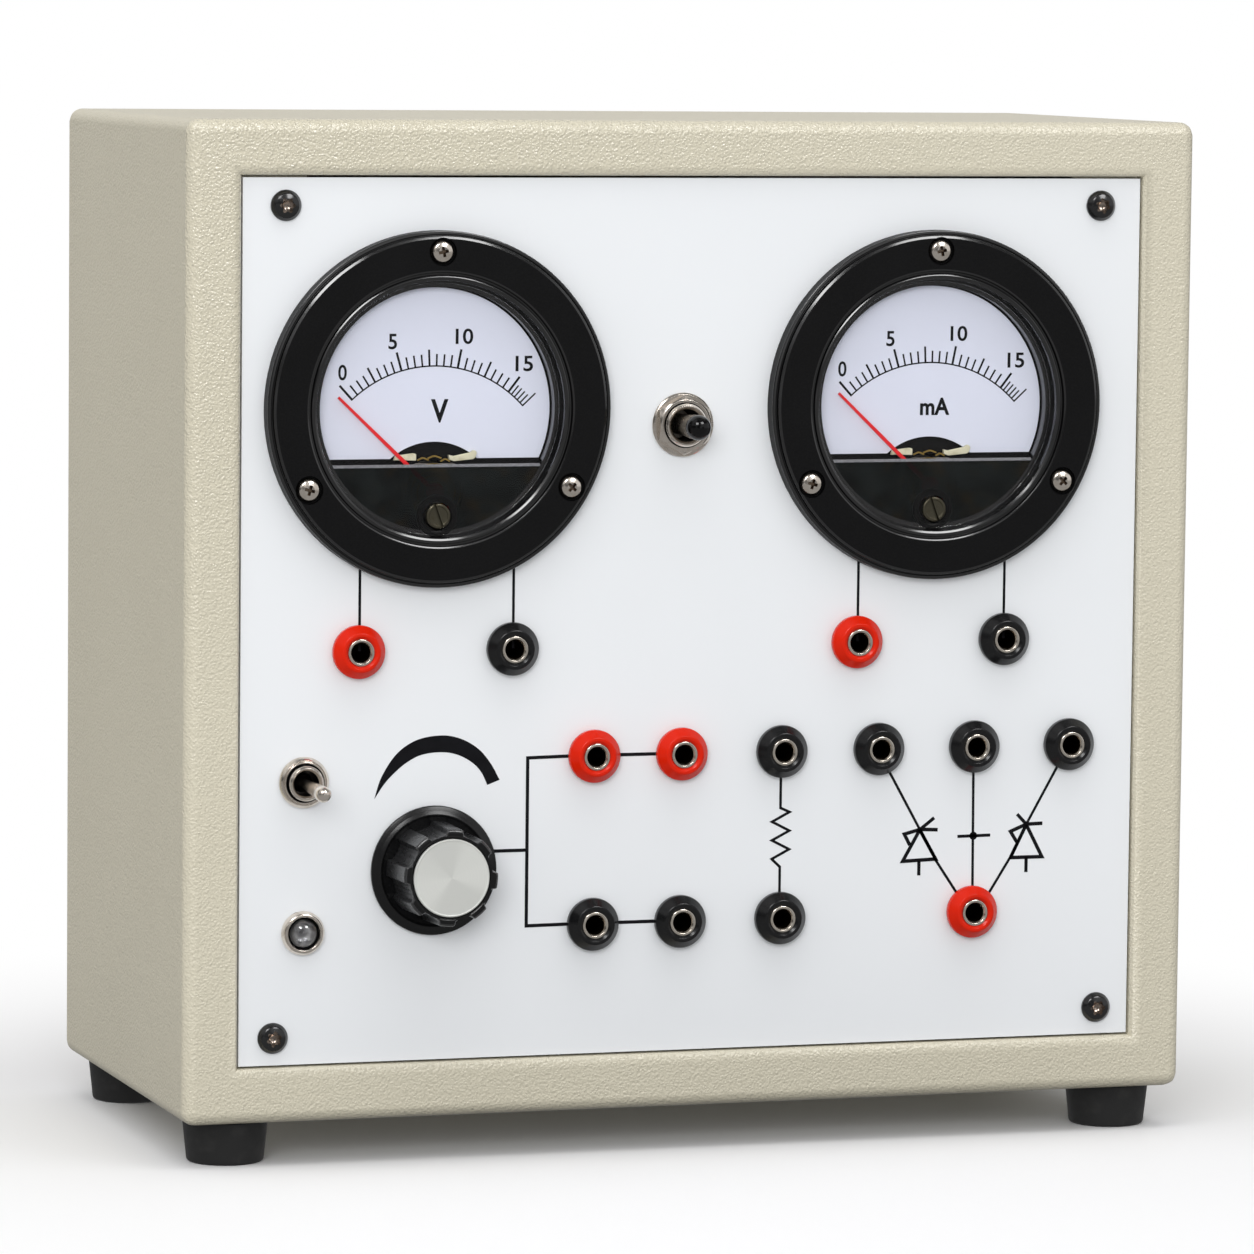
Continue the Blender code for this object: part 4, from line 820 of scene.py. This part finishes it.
def build_zero_screw(meter, place, metal, dark):
    """The slotted adjuster, its slot a little off upright, and the dark well round it."""
    spot = place @ Matrix.Translation(Vector((0, -ZERO_DROP, 0)) * MM)
    top = GLASS_LEVELS[1] - 0.4
    profile = [(0, 0.5), (2.85, 0.5, 0.1), (2.85, top, 0.35), (2.2, top, 0.1), (2.1, top - 0.12, 0.1), (0, top - 0.12)]
    screw = new_object(meter + "_adjuster", turned(profile, 64), [metal], spot)
    slot = box((-0.32, -3.5, top - 0.8), (0.32, 3.5, top + 1))
    bmesh.ops.rotate(slot, verts=slot.verts[:], matrix=Matrix.Rotation(math.radians(20), 3, "Z"))
    carve(screw, slot)
    body = meter.replace("_meter", "_zero")
    settle(screw, body, [meter + "_zero_screw"])
    well = turned([(3.2, 1.32), (4.75, 1.32, 0.1), (4.75, 1.7, 0.15), (3.2, 1.55)], 64, closed=True)
    make(meter + "_adjuster_well", well, dark, spot)


def build_pan_screw(name, place, finishes, turn):
    """Pan head with a cross recess, sunk in the bezel's counterbore."""
    profile = [(0, -1.2), (2.7, -1.2), (2.72, -0.6, 0.5), (2.15, 0.25, 0.9), (1.1, 0.62, 0.6), (0, 0.66)]
    screw = new_object(name, turned(profile, 64), finishes, place @ Matrix.Rotation(turn, 4, "Z"))
    for half in (0, 1):
        arm = box((-1.5, -0.42, -0.5), (1.5, 0.42, 1.5))
        for vert in arm.verts:
            if vert.co.z < 0:
                vert.co.x *= 0.5
                vert.co.y *= 0.6
        bmesh.ops.rotate(arm, verts=arm.verts[:], matrix=Matrix.Rotation(math.pi / 2 * half, 3, "Z"))
        # The cross recess takes the second finish, a dark warm metal: painted shade in the recess.
        carve(screw, arm, finish=1)
    settle(screw)


def build_button_screw(name, place, finishes, turn):
    """Black button head with a six-lobe recess."""
    profile = [(0, -1.0), (1.5, -1.0), (1.5, 0.0), (3.5, 0.0, 0.1), (3.5, 0.55, 0.35), (2.7, 1.55, 1.0), (1.5, 2.0, 0.8), (0, 2.05)]
    screw = new_object(name, turned(profile, 64), finishes, place @ Matrix.Rotation(turn, 4, "Z"))
    outline = []
    for index in range(60):
        angle = 2 * math.pi * index / 60
        reach = 1.55 + 0.27 * math.cos(6 * angle)
        outline.append((reach * math.cos(angle), reach * math.sin(angle)))
    carve(screw, prism(outline, 0.5, 3.0), finish=1)
    carve(screw, turned([(0, -0.3), (1.15, 0.55), (0, 0.55)], 24), finish=1)
    settle(screw)


def build_socket(name, moulding, metal, bore):
    """Moulded head with its rounded shoulder, the barrel behind, and the nickel sleeve."""
    place = on_panel(*centre_of("socket_" + name))
    head = [
        (3.15, -13.0),
        (4.6, -13.0, 0.2),
        (4.6, 0.3),
        (5.8, 0.3, 0.15),
        (5.85, 1.0, 0.12),
        (6.05, 1.15, 0.12),
        (6.05, 2.35, 0.7),
        (4.35, 4.3, 0.5),
        (3.7, 4.3, 0.2),
        (3.15, 3.85, 0.1),
    ]
    make("head_" + name, turned(head, 80, closed=True), moulding, place, stands_for=["socket_" + name])
    # Faces with finish 1 line the bore, in a near-black brown: painted shade inside the sleeve over a brassy tint.
    sleeve = [
        (0, -16.0),
        (3.1, -16.0, 0.2),
        (3.1, 4.0, 0.25),
        (2.5, 4.05, 0.2),
        (2.12, 3.5, 0.1, 1),
        (2.0, 3.2, 0.1, 1),
        (2.0, -11.0, 0.0, 1),
        (0, -11.0),
    ]
    make("ring_" + name, turned(sleeve, 64), [metal, bore], place, stands_for=["sleeve_" + name])


def lobe_inset(angle):
    """How far in the grip lies: eight broad lobes with hollow flutes between them."""
    pitch = 2 * math.pi / 8
    share = ((angle - math.radians(-5)) / pitch) % 1.0
    away = min(share, 1 - share) * 2
    flank = min(1.0, max(0.0, (away - 0.38) / 0.17))
    hollow = min(1.0, max(0.0, (away - 0.55) / 0.45))
    ribs = 0.05 * (1 - math.cos(2 * math.pi * 7 * share)) * min(1.0, hollow * 6)
    return 1.1 * flank * flank * (3 - 2 * flank) + 0.28 * math.sin(hollow * math.pi / 2) + ribs


def build_knob(finishes, cap_metal):
    across, up = centre_of("knob")
    place = on_panel(across, up)
    profile = [
        (0, 12.2),
        (3.3, 12.2),
        (3.3, 6.0),
        (8.0, 6.0),
        (8.0, 0.7),
        (14.5, 0.7, 0.15),
        (14.7, 1.0, 0.2),
        (14.7, 1.6, 0.4),
        (13.6, 2.05, 0.3),
        (12.7, 2.6, 0.3),
        (12.2, 2.1, 0.3),
        (11.3, 1.9, 0.0, 3),
        (11.0, 14.9, 0.0, 3),
        (10.93, 15.2, 0.0, 3),
        (10.7, 15.45, 0.0, 3),
        (10.4, 15.6, 0.0, 2),
        (9.55, 15.6, 0.1),
        (9.35, 15.45, 0.05),
        (9.1, 15.45, 0.05),
        (9.1, 14.8),
        (0, 14.8),
    ]
    knob = turned(profile, 560, inset=lobe_inset, steps=4)
    make("knob_grip", knob, finishes, place, "knob", ["knob"], 30)
    cap = [(0, 15.1), (8.8, 15.1), (8.8, 15.65, 0.12), (8.62, 15.86, 0.06), (8.45, 15.86, 0.05), (8.3, 15.78, 0.05), (0, 15.78)]
    make("knob_disc", turned(cap, 160), cap_metal, place, "knob", ["knob_cap"])


def build_toggle(metal, dark, lever_metal):
    across, up = centre_of("toggle_switch")
    place = on_panel(across, up)
    # Faces with finish 1, the gap between nut and bushing and the bushing's bore, take the dark finish as painted
    # shade.
    body = [
        (0, -5.3), (4.0, -5.3), (4.0, 0.3),
        (5.75, 0.3, 0.2), (5.8, 0.95, 0.45), (5.05, 1.9, 0.2), (4.95, 1.75, 0.08), (4.8, 1.75, 0.08),
        (4.7, 2.05, 0.12), (4.38, 2.05, 0.1), (4.34, 1.0, 0.0, 1), (4.0, 1.0, 0.0, 1), (4.0, 2.6, 0.05),
        (3.95, 3.25, 0.3), (3.55, 3.62, 0.12), (3.3, 3.62, 0.12), (2.85, 3.2, 0.1, 1),
        (2.85, -4.5, 0.0, 1), (0, -4.5),
    ]
    shape = turned(body, 96)
    switch = new_object("toggle_bushing", shape, [metal, dark], place)
    carve(switch, box((-6.5, -10.0, -18.3), (6.5, 10.0, -3.3)), "UNION")
    settle(switch, stands_for=["toggle_switch"])
    pivot = on_panel(across, up, -1.5) @ Matrix.Rotation(math.radians(2.5), 4, "X")
    lever = [(0, -2.4)]
    for step in range(1, 10):
        level = -2.4 + (2.107 + 2.4) * step / 10
        lever.append((math.sqrt(2.4**2 - level**2), level))
    lever += [(1.15, 2.107, 0.3), (1.2, 6.0, 2.0), (1.72, 16.6, 3.0), (1.8, 18.6, 0.5)]
    for step in range(1, 10):
        angle = math.pi / 2 * step / 10
        lever.append((1.8 * math.cos(angle), 18.65 + 1.8 * math.sin(angle)))
    lever.append((0, 20.45))
    make("toggle_bat", turned(lever, 64), lever_metal, pivot, "toggle", ["toggle_lever"])


def build_push(metal, dark, cap_black, stem):
    across, up = centre_of("push_switch")
    place = on_panel(across, up)
    # Faces with finish 1, the bushing's bore, take the dark finish as painted shade.
    body = [
        (0, -19.3), (7.0, -19.3, 0.4), (7.0, -3.3, 0.4), (4.9, -3.3), (4.9, 0.3),
        (7.25, 0.3, 0.15), (7.3, 0.75, 0.15), (6.9, 1.05, 0.1), (5.2, 1.05), (5.2, 1.6),
        (4.9, 1.6), (4.9, 3.5, 0.25), (4.5, 4.0, 0.12), (4.2, 4.0, 0.12), (3.7, 3.6, 0.1, 1), (3.7, -9.3, 0.0, 1),
        (0, -9.3),
    ]
    make("push_bushing", turned(body, 96), [metal, dark], place, stands_for=["push_switch"])
    corner = 6.0 / math.cos(math.pi / 6)
    hexagon = arc(corner, 90, 390, 5)
    nut = new_object("push_nut", prism(hexagon, 1.05, 2.85), [metal], place)
    dome = [(5.18, 0.5), (9.0, 0.5), (9.0, 1.5), (6.95, 1.75), (6.2, 2.5, 0.3), (5.75, 2.85, 0.2), (5.18, 2.85)]
    carve(nut, turned(dome, 96, closed=True), "INTERSECT")
    settle(nut)
    # A dark ring filling the gap between nut and bushing: painted shade.
    groove = turned([(4.93, 2.5), (5.16, 2.5), (5.16, 1.1), (4.93, 1.1)], 64, closed=True)
    make("push_painted_gap_shade", groove, dark, place)
    shaft = [(0, -6.0), (3.4, -6.0), (3.4, -4.2), (2.35, -4.2), (2.35, 3.0, 2.0), (2.75, 8.6, 2.0), (2.82, 11.3, 0.1),
             (0, 11.3)]
    make("push_stem", turned(shaft, 64), stem, place, "push", ["push_plunger"])
    tip = [(0, 10.9), (2.84, 10.9, 0.15), (2.88, 11.3)]
    for step in range(0, 11):
        angle = math.pi / 2 * step / 11
        tip.append((2.88 * math.cos(angle), 11.72 + 2.88 * math.sin(angle)))
    tip.append((0, 14.6))
    make("push_tip", turned(tip, 64), cap_black, place, "push")


def build_lamp(metal, dark, glass, bowl, pearl):
    across, up = centre_of("lamp_bezel")
    place = on_panel(across, up)
    bezel = [(3.5, -10.0), (4.1, -10.0), (4.1, 0.3), (5.0, 0.3, 0.15), (4.98, 1.0, 0.55), (4.4, 2.0, 0.6),
             (3.78, 2.05, 0.2), (3.62, 1.5, 0.05), (3.5, 1.2)]
    make("lamp_ring", turned(bezel, 96, closed=True), metal, place, stands_for=["lamp_bezel"])
    inner = turned([(3.22, -6.9), (3.48, -6.9), (3.48, 1.5, 0.08), (3.22, 1.3)], 64, closed=True)
    make("lamp_gasket", inner, dark, place)
    lens = [(0, 0.9), (3.15, 0.9), (3.15, 1.05)]
    for step in range(1, 12):
        angle = math.pi / 2 * step / 12
        lens.append((3.15 * math.cos(angle), 1.05 + 2.4 * math.sin(angle)))
    lens.append((0, 3.45))
    make("lamp_dome", turned(lens, 64), glass, place, stands_for=["lamp_lens"])
    cup = turned([(0, -6.9), (3.18, -6.9), (3.18, 0.7), (2.7, 0.6), (1.2, -0.5), (0.5, -0.6), (0.3, -0.2), (0, -0.15)], 48)
    make("lamp_cup", cup, bowl, place, sharp=20)
    # Two pale pads low in the cup are painted highlights, standing in for the lens's two lower reflections.
    pads = bmesh.new()
    for across_pad, up_pad, lean in ((-0.55, -1.75, 8), (0.75, -1.55, -12)):
        pad = box((-0.42, -0.38, -0.35), (0.42, 0.38, 0.72))
        bmesh.ops.bevel(pad, geom=pad.edges[:], offset=0.16, segments=3, profile=0.5, affect="EDGES")
        bmesh.ops.rotate(pad, verts=pad.verts[:], matrix=Matrix.Rotation(math.radians(lean), 3, "Z"))
        bmesh.ops.translate(pad, verts=pad.verts[:], vec=(across_pad, up_pad, 0))
        mesh = bpy.data.meshes.new("pad")
        pad.to_mesh(mesh)
        pad.free()
        pads.from_mesh(mesh)
        bpy.data.meshes.remove(mesh)
    make("lamp_highlight_pads", pads, pearl, place)


def build_feet(finish):
    for row in ("front", "rear"):
        for side in ("left", "right"):
            node = "foot_" + row + "_" + side
            low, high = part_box(node)
            place = Matrix.Translation(((low.x + high.x) / 2, (low.y + high.y) / 2, 0))
            profile = [(0, 1.6), (2.6, 1.6), (2.6, 0.0, 0.2), (8.7, 0.0, 0.9), (8.95, 2.4, 2.0), (9.7, 9.4, 0.15),
                       (9.7, 9.7, 0.1), (0, 9.7)]
            make("rubber_" + node, turned(profile, 96, steps=6), finish, place, stands_for=[node])


def build_gland(finish):
    across, up = centre_of("cord_gland")
    place = on_back(-across, up)
    profile = [(3.3, -5.1), (6.6, -5.1, 0.3), (6.6, -3.3), (5.2, -3.3), (5.2, 0.3), (7.4, 0.3, 0.15), (7.3, 1.0, 0.5),
               (5.0, 1.8, 0.6), (3.3, 1.8, 0.4)]
    make("gland_bush", turned(profile, 80, closed=True), finish, place, stands_for=["cord_gland"])


def build_panel_print(ink):
    """The circuits, the crescent over the knob and the meters' leads, printed on the panel."""
    shape = bmesh.new()
    outer = [(-75.8, 72.6), (-74.1, 77.6), (-70.6, 82.7), (-65.9, 85.7), (-60.1, 86.6), (-55.5, 85.7),
             (-51.4, 83.3), (-48.5, 79.9), (-46.4, 76.2)]
    inner = [(-49.3, 75.1), (-50.8, 78.1), (-53.1, 80.4), (-56.6, 82.2), (-60.4, 82.8), (-64.8, 82.3),
             (-68.2, 80.7), (-71.1, 78.4), (-73.5, 75.9), (-75.7, 72.7)]
    prism(flowing(outer) + flowing(inner), *PRINT_LEVELS, shape)
    for across in (-79.5, -43.5, 39.1, 74.9):
        stroke([(across, 125.5), (across, 106.0)], 0.62, shape=shape)
    stroke([(-49.0, 60.0), (-40.0, 60.0)], LINE, shape=shape)
    stroke([(-29.8, 81.2), (-39.8, 81.0), (-39.8, 42.7), (-29.8, 42.8)], LINE, shape=shape)
    for level in (81.2, 42.8):
        stroke([(-20.0, level), (-8.0, level)], LINE, shape=shape)
    zigzag = [(20.9, 75.6), (20.9, 68.0)]
    for index in range(6):
        level = 67.0 - index * 2.15
        zigzag.append((23.1 if index % 2 == 0 else 18.9, level))
    zigzag += [(20.9, 54.4), (20.9, 48.3)]
    stroke(zigzag, 0.62, shape=shape)
    stroke([(68.0, 75.6), (68.2, 48.0)], 0.62, shape=shape)
    stroke([(64.3, 60.2), (72.4, 60.3)], 0.72, shape=shape)
    turned([(0, PRINT_LEVELS[0]), (0.95, PRINT_LEVELS[0]), (0.95, PRINT_LEVELS[1]), (0, PRINT_LEVELS[1])], 24, shape, (68.2, 60.25))
    left = [(47.2, 75.9), (55.1, 61.9), (58.9, 55.0), (64.9, 46.2)]
    right = [(88.8, 75.9), (81.2, 62.4), (77.4, 54.9), (71.9, 46.2)]
    for line in (left, right):
        stroke(line, 0.62, shape=shape)
    stroke([(55.0, 62.0), (50.9, 54.8), (59.0, 55.1), (55.0, 62.0)], 0.85, shape=shape)
    stroke([(81.3, 62.5), (77.5, 54.9), (85.3, 54.9), (81.3, 62.5)], 0.85, shape=shape)
    stroke([(59.4, 61.9), (55.1, 62.1), (51.2, 61.1), (52.6, 58.5)], 0.85, shape=shape)
    stroke([(55.1, 62.1), (58.5, 64.7)], 0.8, shape=shape)
    stroke([(85.3, 62.7), (81.3, 62.6), (77.4, 61.0), (79.0, 58.5)], 0.85, shape=shape)
    stroke([(81.3, 62.6), (79.0, 65.0)], 0.8, shape=shape)
    stroke([(54.9, 54.8), (54.9, 51.4)], 0.8, shape=shape)
    stroke([(81.4, 54.9), (81.4, 51.4)], 0.8, shape=shape)
    make("panel_print", shape, ink, on_panel())


def build_camera():
    """The photograph's view: from the left, a little above."""
    turn, down, roll = math.radians(18.0), math.radians(5.2779), math.radians(0.6003)
    ahead = Vector((math.sin(turn) * math.cos(down), math.cos(turn) * math.cos(down), -math.sin(down)))
    right = Vector((math.cos(turn), -math.sin(turn), 0))
    up = right.cross(ahead)
    tilted_right = right * math.cos(roll) + up * math.sin(roll)
    tilted_up = up * math.cos(roll) - right * math.sin(roll)
    camera = bpy.data.objects.new("camera", bpy.data.cameras.new("camera"))
    camera.data.lens = 197.545
    camera.data.sensor_width = 36.0
    camera.data.clip_end = 50.0
    axes = Matrix((tilted_right, tilted_up, -ahead)).transposed().to_4x4()
    camera.matrix_world = Matrix.Translation((-0.496794, -1.525640, 0.263882)) @ axes
    bpy.context.scene.collection.objects.link(camera)
    bpy.context.scene.camera = camera


def build_lamp_panel(name, spot, size, watts, diffuse=True, glossy=True):
    """A soft studio panel that the camera doesn't see. It lights surfaces, shows in reflections, or both."""
    data = bpy.data.lights.new(name, "AREA")
    data.shape = "RECTANGLE"
    data.size, data.size_y = size
    data.energy = watts
    lamp = bpy.data.objects.new(name, data)
    lamp.location = spot
    lamp.rotation_mode = "QUATERNION"
    lamp.rotation_quaternion = (Vector((0, 0, 0.11)) - Vector(spot)).to_track_quat("-Z", "Y")
    lamp.visible_camera = False
    lamp.visible_diffuse = diffuse
    lamp.visible_glossy = glossy
    bpy.context.scene.collection.objects.link(lamp)


def build_world():
    """White to the camera. Soft light falls mostly from the front, and metals see a room with darker parts."""
    world = bpy.data.worlds.new("studio")
    bpy.context.scene.world = world
    room = Finish("studio", world=world)
    direction = room.node("TexCoord", output="Generated")
    ahead = room.node("SeparateXYZ", inputs={0: direction}, output="Y")
    aside = room.node("SeparateXYZ", inputs={0: direction}, output="X")
    above = room.node("SeparateXYZ", inputs={0: direction}, output="Z")
    fall = room.between(ahead, -0.5, 0.5, 0.60, 0.27) + room.between(aside, -0.9, 0.1, 0.33, 0.0)
    fall = fall + room.between(above, 0.35, 1.0, 0.0, 0.5)
    parts = room.node("TexNoise", {}, {"Vector": direction, "Scale": 1.7, "Detail": 1.0})
    mirrored_level = room.between(parts, 0.37, 0.57, 0.08, 0.68)
    mirrored = room.node("LightPath", output="Is Glossy Ray")
    seen = room.node("LightPath", output="Is Camera Ray")
    level = fall * (1.0 - mirrored) + mirrored_level * mirrored
    shade = room.node("CombineColor", inputs={0: level, 1: level, 2: level * 1.01})
    colour = room.blend(seen, shade, (1.0, 1.0, 1.0))
    back = room.node("Background", inputs={"Color": colour, "Strength": 1.0})
    end = room.tree.nodes.new("ShaderNodeOutputWorld")
    room.tree.links.new(back.socket, end.inputs["Surface"])


def build_floor():
    """A wide pale floor that fades to white away from the part and keeps its shadow. To other rays it is painted light:
    a glow in place of bounced light, dark under the part as a painted shadow, and a grey painted reflection.
    """
    made = Finish("pale_floor", Specular_IOR_Level=0.2, Roughness=0.6)
    made.colour(made.blend(made.noise(400.0), (0.94, 0.94, 0.94), (0.92, 0.92, 0.925)))
    made.bump(made.noise(1.5), 0.01)
    away = made.maths("SQRT", made.x * made.x + made.y * made.y)
    far = made.between(away, 0.12, 0.32)
    white = made.node("Emission", {}, {"Color": (1.0, 1.0, 1.0), "Strength": 1.0})
    # The camera sees the lit floor; other rays see glows: a grey painted reflection, painted bounce light, and a
    # painted shadow under the part.
    painted_reflection_glow = made.node("Emission", {}, {"Color": (0.32, 0.32, 0.32), "Strength": 1.0})
    painted_bounce_glow = made.node("Emission", {}, {"Color": (0.52, 0.52, 0.52), "Strength": 1.0})
    painted_shadow_under_part = made.node("Emission", {}, {"Color": (0.06, 0.06, 0.06), "Strength": 1.0})
    lit = Term(made, made.shader.outputs[0])
    seen = made.node("LightPath", output="Is Camera Ray")
    mirrored = made.node("LightPath", output="Is Glossy Ray")
    near = made.node("MixShader", {}, {0: far, 1: lit, 2: white})
    around = made.node("MixShader", {}, {0: made.between(away, 0.08, 0.20), 1: painted_shadow_under_part, 2: painted_bounce_glow})
    unseen = made.node("MixShader", {}, {0: mirrored, 1: around, 2: painted_reflection_glow})
    mixed = made.node("MixShader", {}, {0: seen, 1: unseen, 2: near})
    made.tree.links.new(mixed.socket, made.tree.nodes["Material Output"].inputs["Surface"])
    shape = bmesh.new()
    bmesh.ops.create_grid(shape, x_segments=8, y_segments=8, size=6000.0)
    floor = new_object("floor", shape, [made.material], Matrix.Identity(4))


def dress(nodes, finish):
    """Gives carried-over nodes their finish."""
    for name in nodes:
        for holder in NODES[name].material_slots:
            holder.material = finish


def main():
    bpy.context.scene.view_settings.view_transform = "Standard"
    build_camera()
    build_world()
    build_floor()
    build_lamp_panel("front_light", (-0.70, -1.70, 0.62), (0.9, 0.7), 15.0, glossy=False)
    build_lamp_panel("overhead_light", (0.0, -0.45, 1.6), (1.2, 0.6), 5.0, glossy=False)
    build_lamp_panel("left_softbox", (-0.78, -1.30, 1.42), (0.7, 0.6), 14.0, diffuse=False)
    build_lamp_panel("right_softbox", (0.62, -1.20, 1.42), (0.7, 0.6), 12.0, diffuse=False)

    matt_black = moulded_black("matt_black_moulding", 0.030, 0.42, 0.0040, 0.12)
    gloss_black = moulded_black("gloss_black_moulding", 0.001, 0.10, 0.003, 0.9)
    satin_black = moulded_black("satin_black_moulding", 0.010, 0.20, 0.004, 0.35)
    grip_black = moulded_black("grip_black_moulding", 0.010, 0.24, 0.015, 0.8)
    socket_black = moulded_black("socket_black_moulding", 0.003, 0.16, 0.006, 0.35)
    cap_black = moulded_black("cap_black_moulding", 0.001, 0.03, 0.001, 0.35)
    deep_black = moulded_black("deep_black", 0.010, 0.5, 0.002, 0.1)
    # Sockets' bores: brassy brown darkened nearly to black, as painted shade deep in the sleeve.
    bore_painted_shade = plated("bore_painted_shade", (0.035, 0.022, 0.012), (0.015, 0.009, 0.005), 0.3)
    red = socket_red()
    nickel = plated("nickel_plate", (0.78, 0.715, 0.64), (0.55, 0.48, 0.40), 0.13, 0.002)
    sleeve_metal = plated("sleeve_nickel", (0.74, 0.68, 0.60), (0.46, 0.39, 0.30), 0.14, 0.003)
    # Pan screws' recesses: nickel darkened to a warm brown, as painted shade.
    recess_painted_shade = plated("recess_painted_shade", (0.26, 0.20, 0.15), (0.12, 0.09, 0.06), 0.25)
    dull_nickel = plated("dull_nickel", (0.115, 0.105, 0.075), (0.06, 0.05, 0.03), 0.30, 0.02)
    screw_black = moulded_black("screw_black", 0.004, 0.14, 0.008, 0.6)
    screw_recess = plated("screw_recess", (0.42, 0.35, 0.30), (0.02, 0.015, 0.01), 0.12, 0.02)
    # Pale grey moulding for the strip on each cover's front edge: a painted highlight.
    cover_painted_highlight = moulded_black("cover_painted_highlight", 0.004, 0.3, 0.17, 0.5)
    # Pale moulding for the pads inside the lamp: painted highlights.
    pearl = moulded_black("lamp_pearl", 0.004, 0.3, 0.62, 0.5)
    tab_metal = plated("tinned_tab", (0.80, 0.76, 0.56), (0.52, 0.47, 0.28), 0.42, 0.02, 0.3)
    spring_gold = plated("spring_gold", (0.62, 0.42, 0.12), (0.36, 0.22, 0.05), 0.25)
    bridge_metal = plated("bridge_steel", (0.30, 0.28, 0.26), (0.15, 0.12, 0.08), 0.40, 0.01)
    stem_steel = plated("stem_steel", (0.30, 0.27, 0.235), (0.14, 0.115, 0.085), 0.24)
    ink = printing_ink()
    card = dial_card()
    glass = window_glass()
    cover = smoked_cover()
    black_rubber = rubber()

    dress(["front_panel"], panel_sheet())
    dress(["back_panel"], hardboard())
    dress(["knob_spindle", "potentiometer"], nickel)
    dress(["transformer"], core_steel())
    dress(["circuit_board"], board_lacquer())
    dress([meter + "_needle" for meter in METERS], needle_paint())

    build_case(covering())
    build_feet(black_rubber)
    build_gland(black_rubber)
    build_panel_print(ink)
    units = {"volt_meter": ("V", 5.3, 4.1), "milliamp_meter": ("mA", 4.0, 7.2)}
    for meter in METERS:
        place = on_panel(*centre_of(meter + "_housing"))
        build_housing(meter, place, [matt_black, gloss_black])
        build_cover(meter, place, cover, cover_painted_highlight)
        build_window(meter, place, glass)
        build_dial(meter, place, card, ink, *units[meter])
        build_movement(meter, place, bridge_metal, tab_metal, spring_gold)
        build_zero_screw(meter, place, dull_nickel, deep_black)
        for index in range(3):
            angle = math.pi / 2 + 2 * math.pi * index / 3
            spot = Vector((SCREW_CIRCLE * math.cos(angle), SCREW_CIRCLE * math.sin(angle), 4.9)) * MM
            turn = 0.2 + index * 1.1
            build_pan_screw(f"{meter}_screw_{index + 1}", place @ Matrix.Translation(spot), [nickel, recess_painted_shade], turn)
    for name, colour in SOCKETS.items():
        moulding = red if colour == "red" else socket_black
        build_socket(name, moulding, sleeve_metal, bore_painted_shade)
    build_knob([satin_black, grip_black], spun_cap())
    build_toggle(nickel, deep_black, nickel)
    build_push(nickel, deep_black, cap_black, stem_steel)
    build_lamp(nickel, deep_black, lamp_glass(), lamp_inside(), pearl)
    for index, (across, up) in enumerate(((-97.2, 205.8), (97.2, 205.8), (-99.2, 19.2), (99.2, 19.2))):
        build_button_screw(f"panel_screw_{index + 1}", on_panel(across, up, 0.05), [screw_black, screw_recess], index * 0.7)
        build_button_screw(f"back_screw_{index + 1}", on_back(across, up, 0.05), [screw_black, screw_recess], index * 0.4)


main()
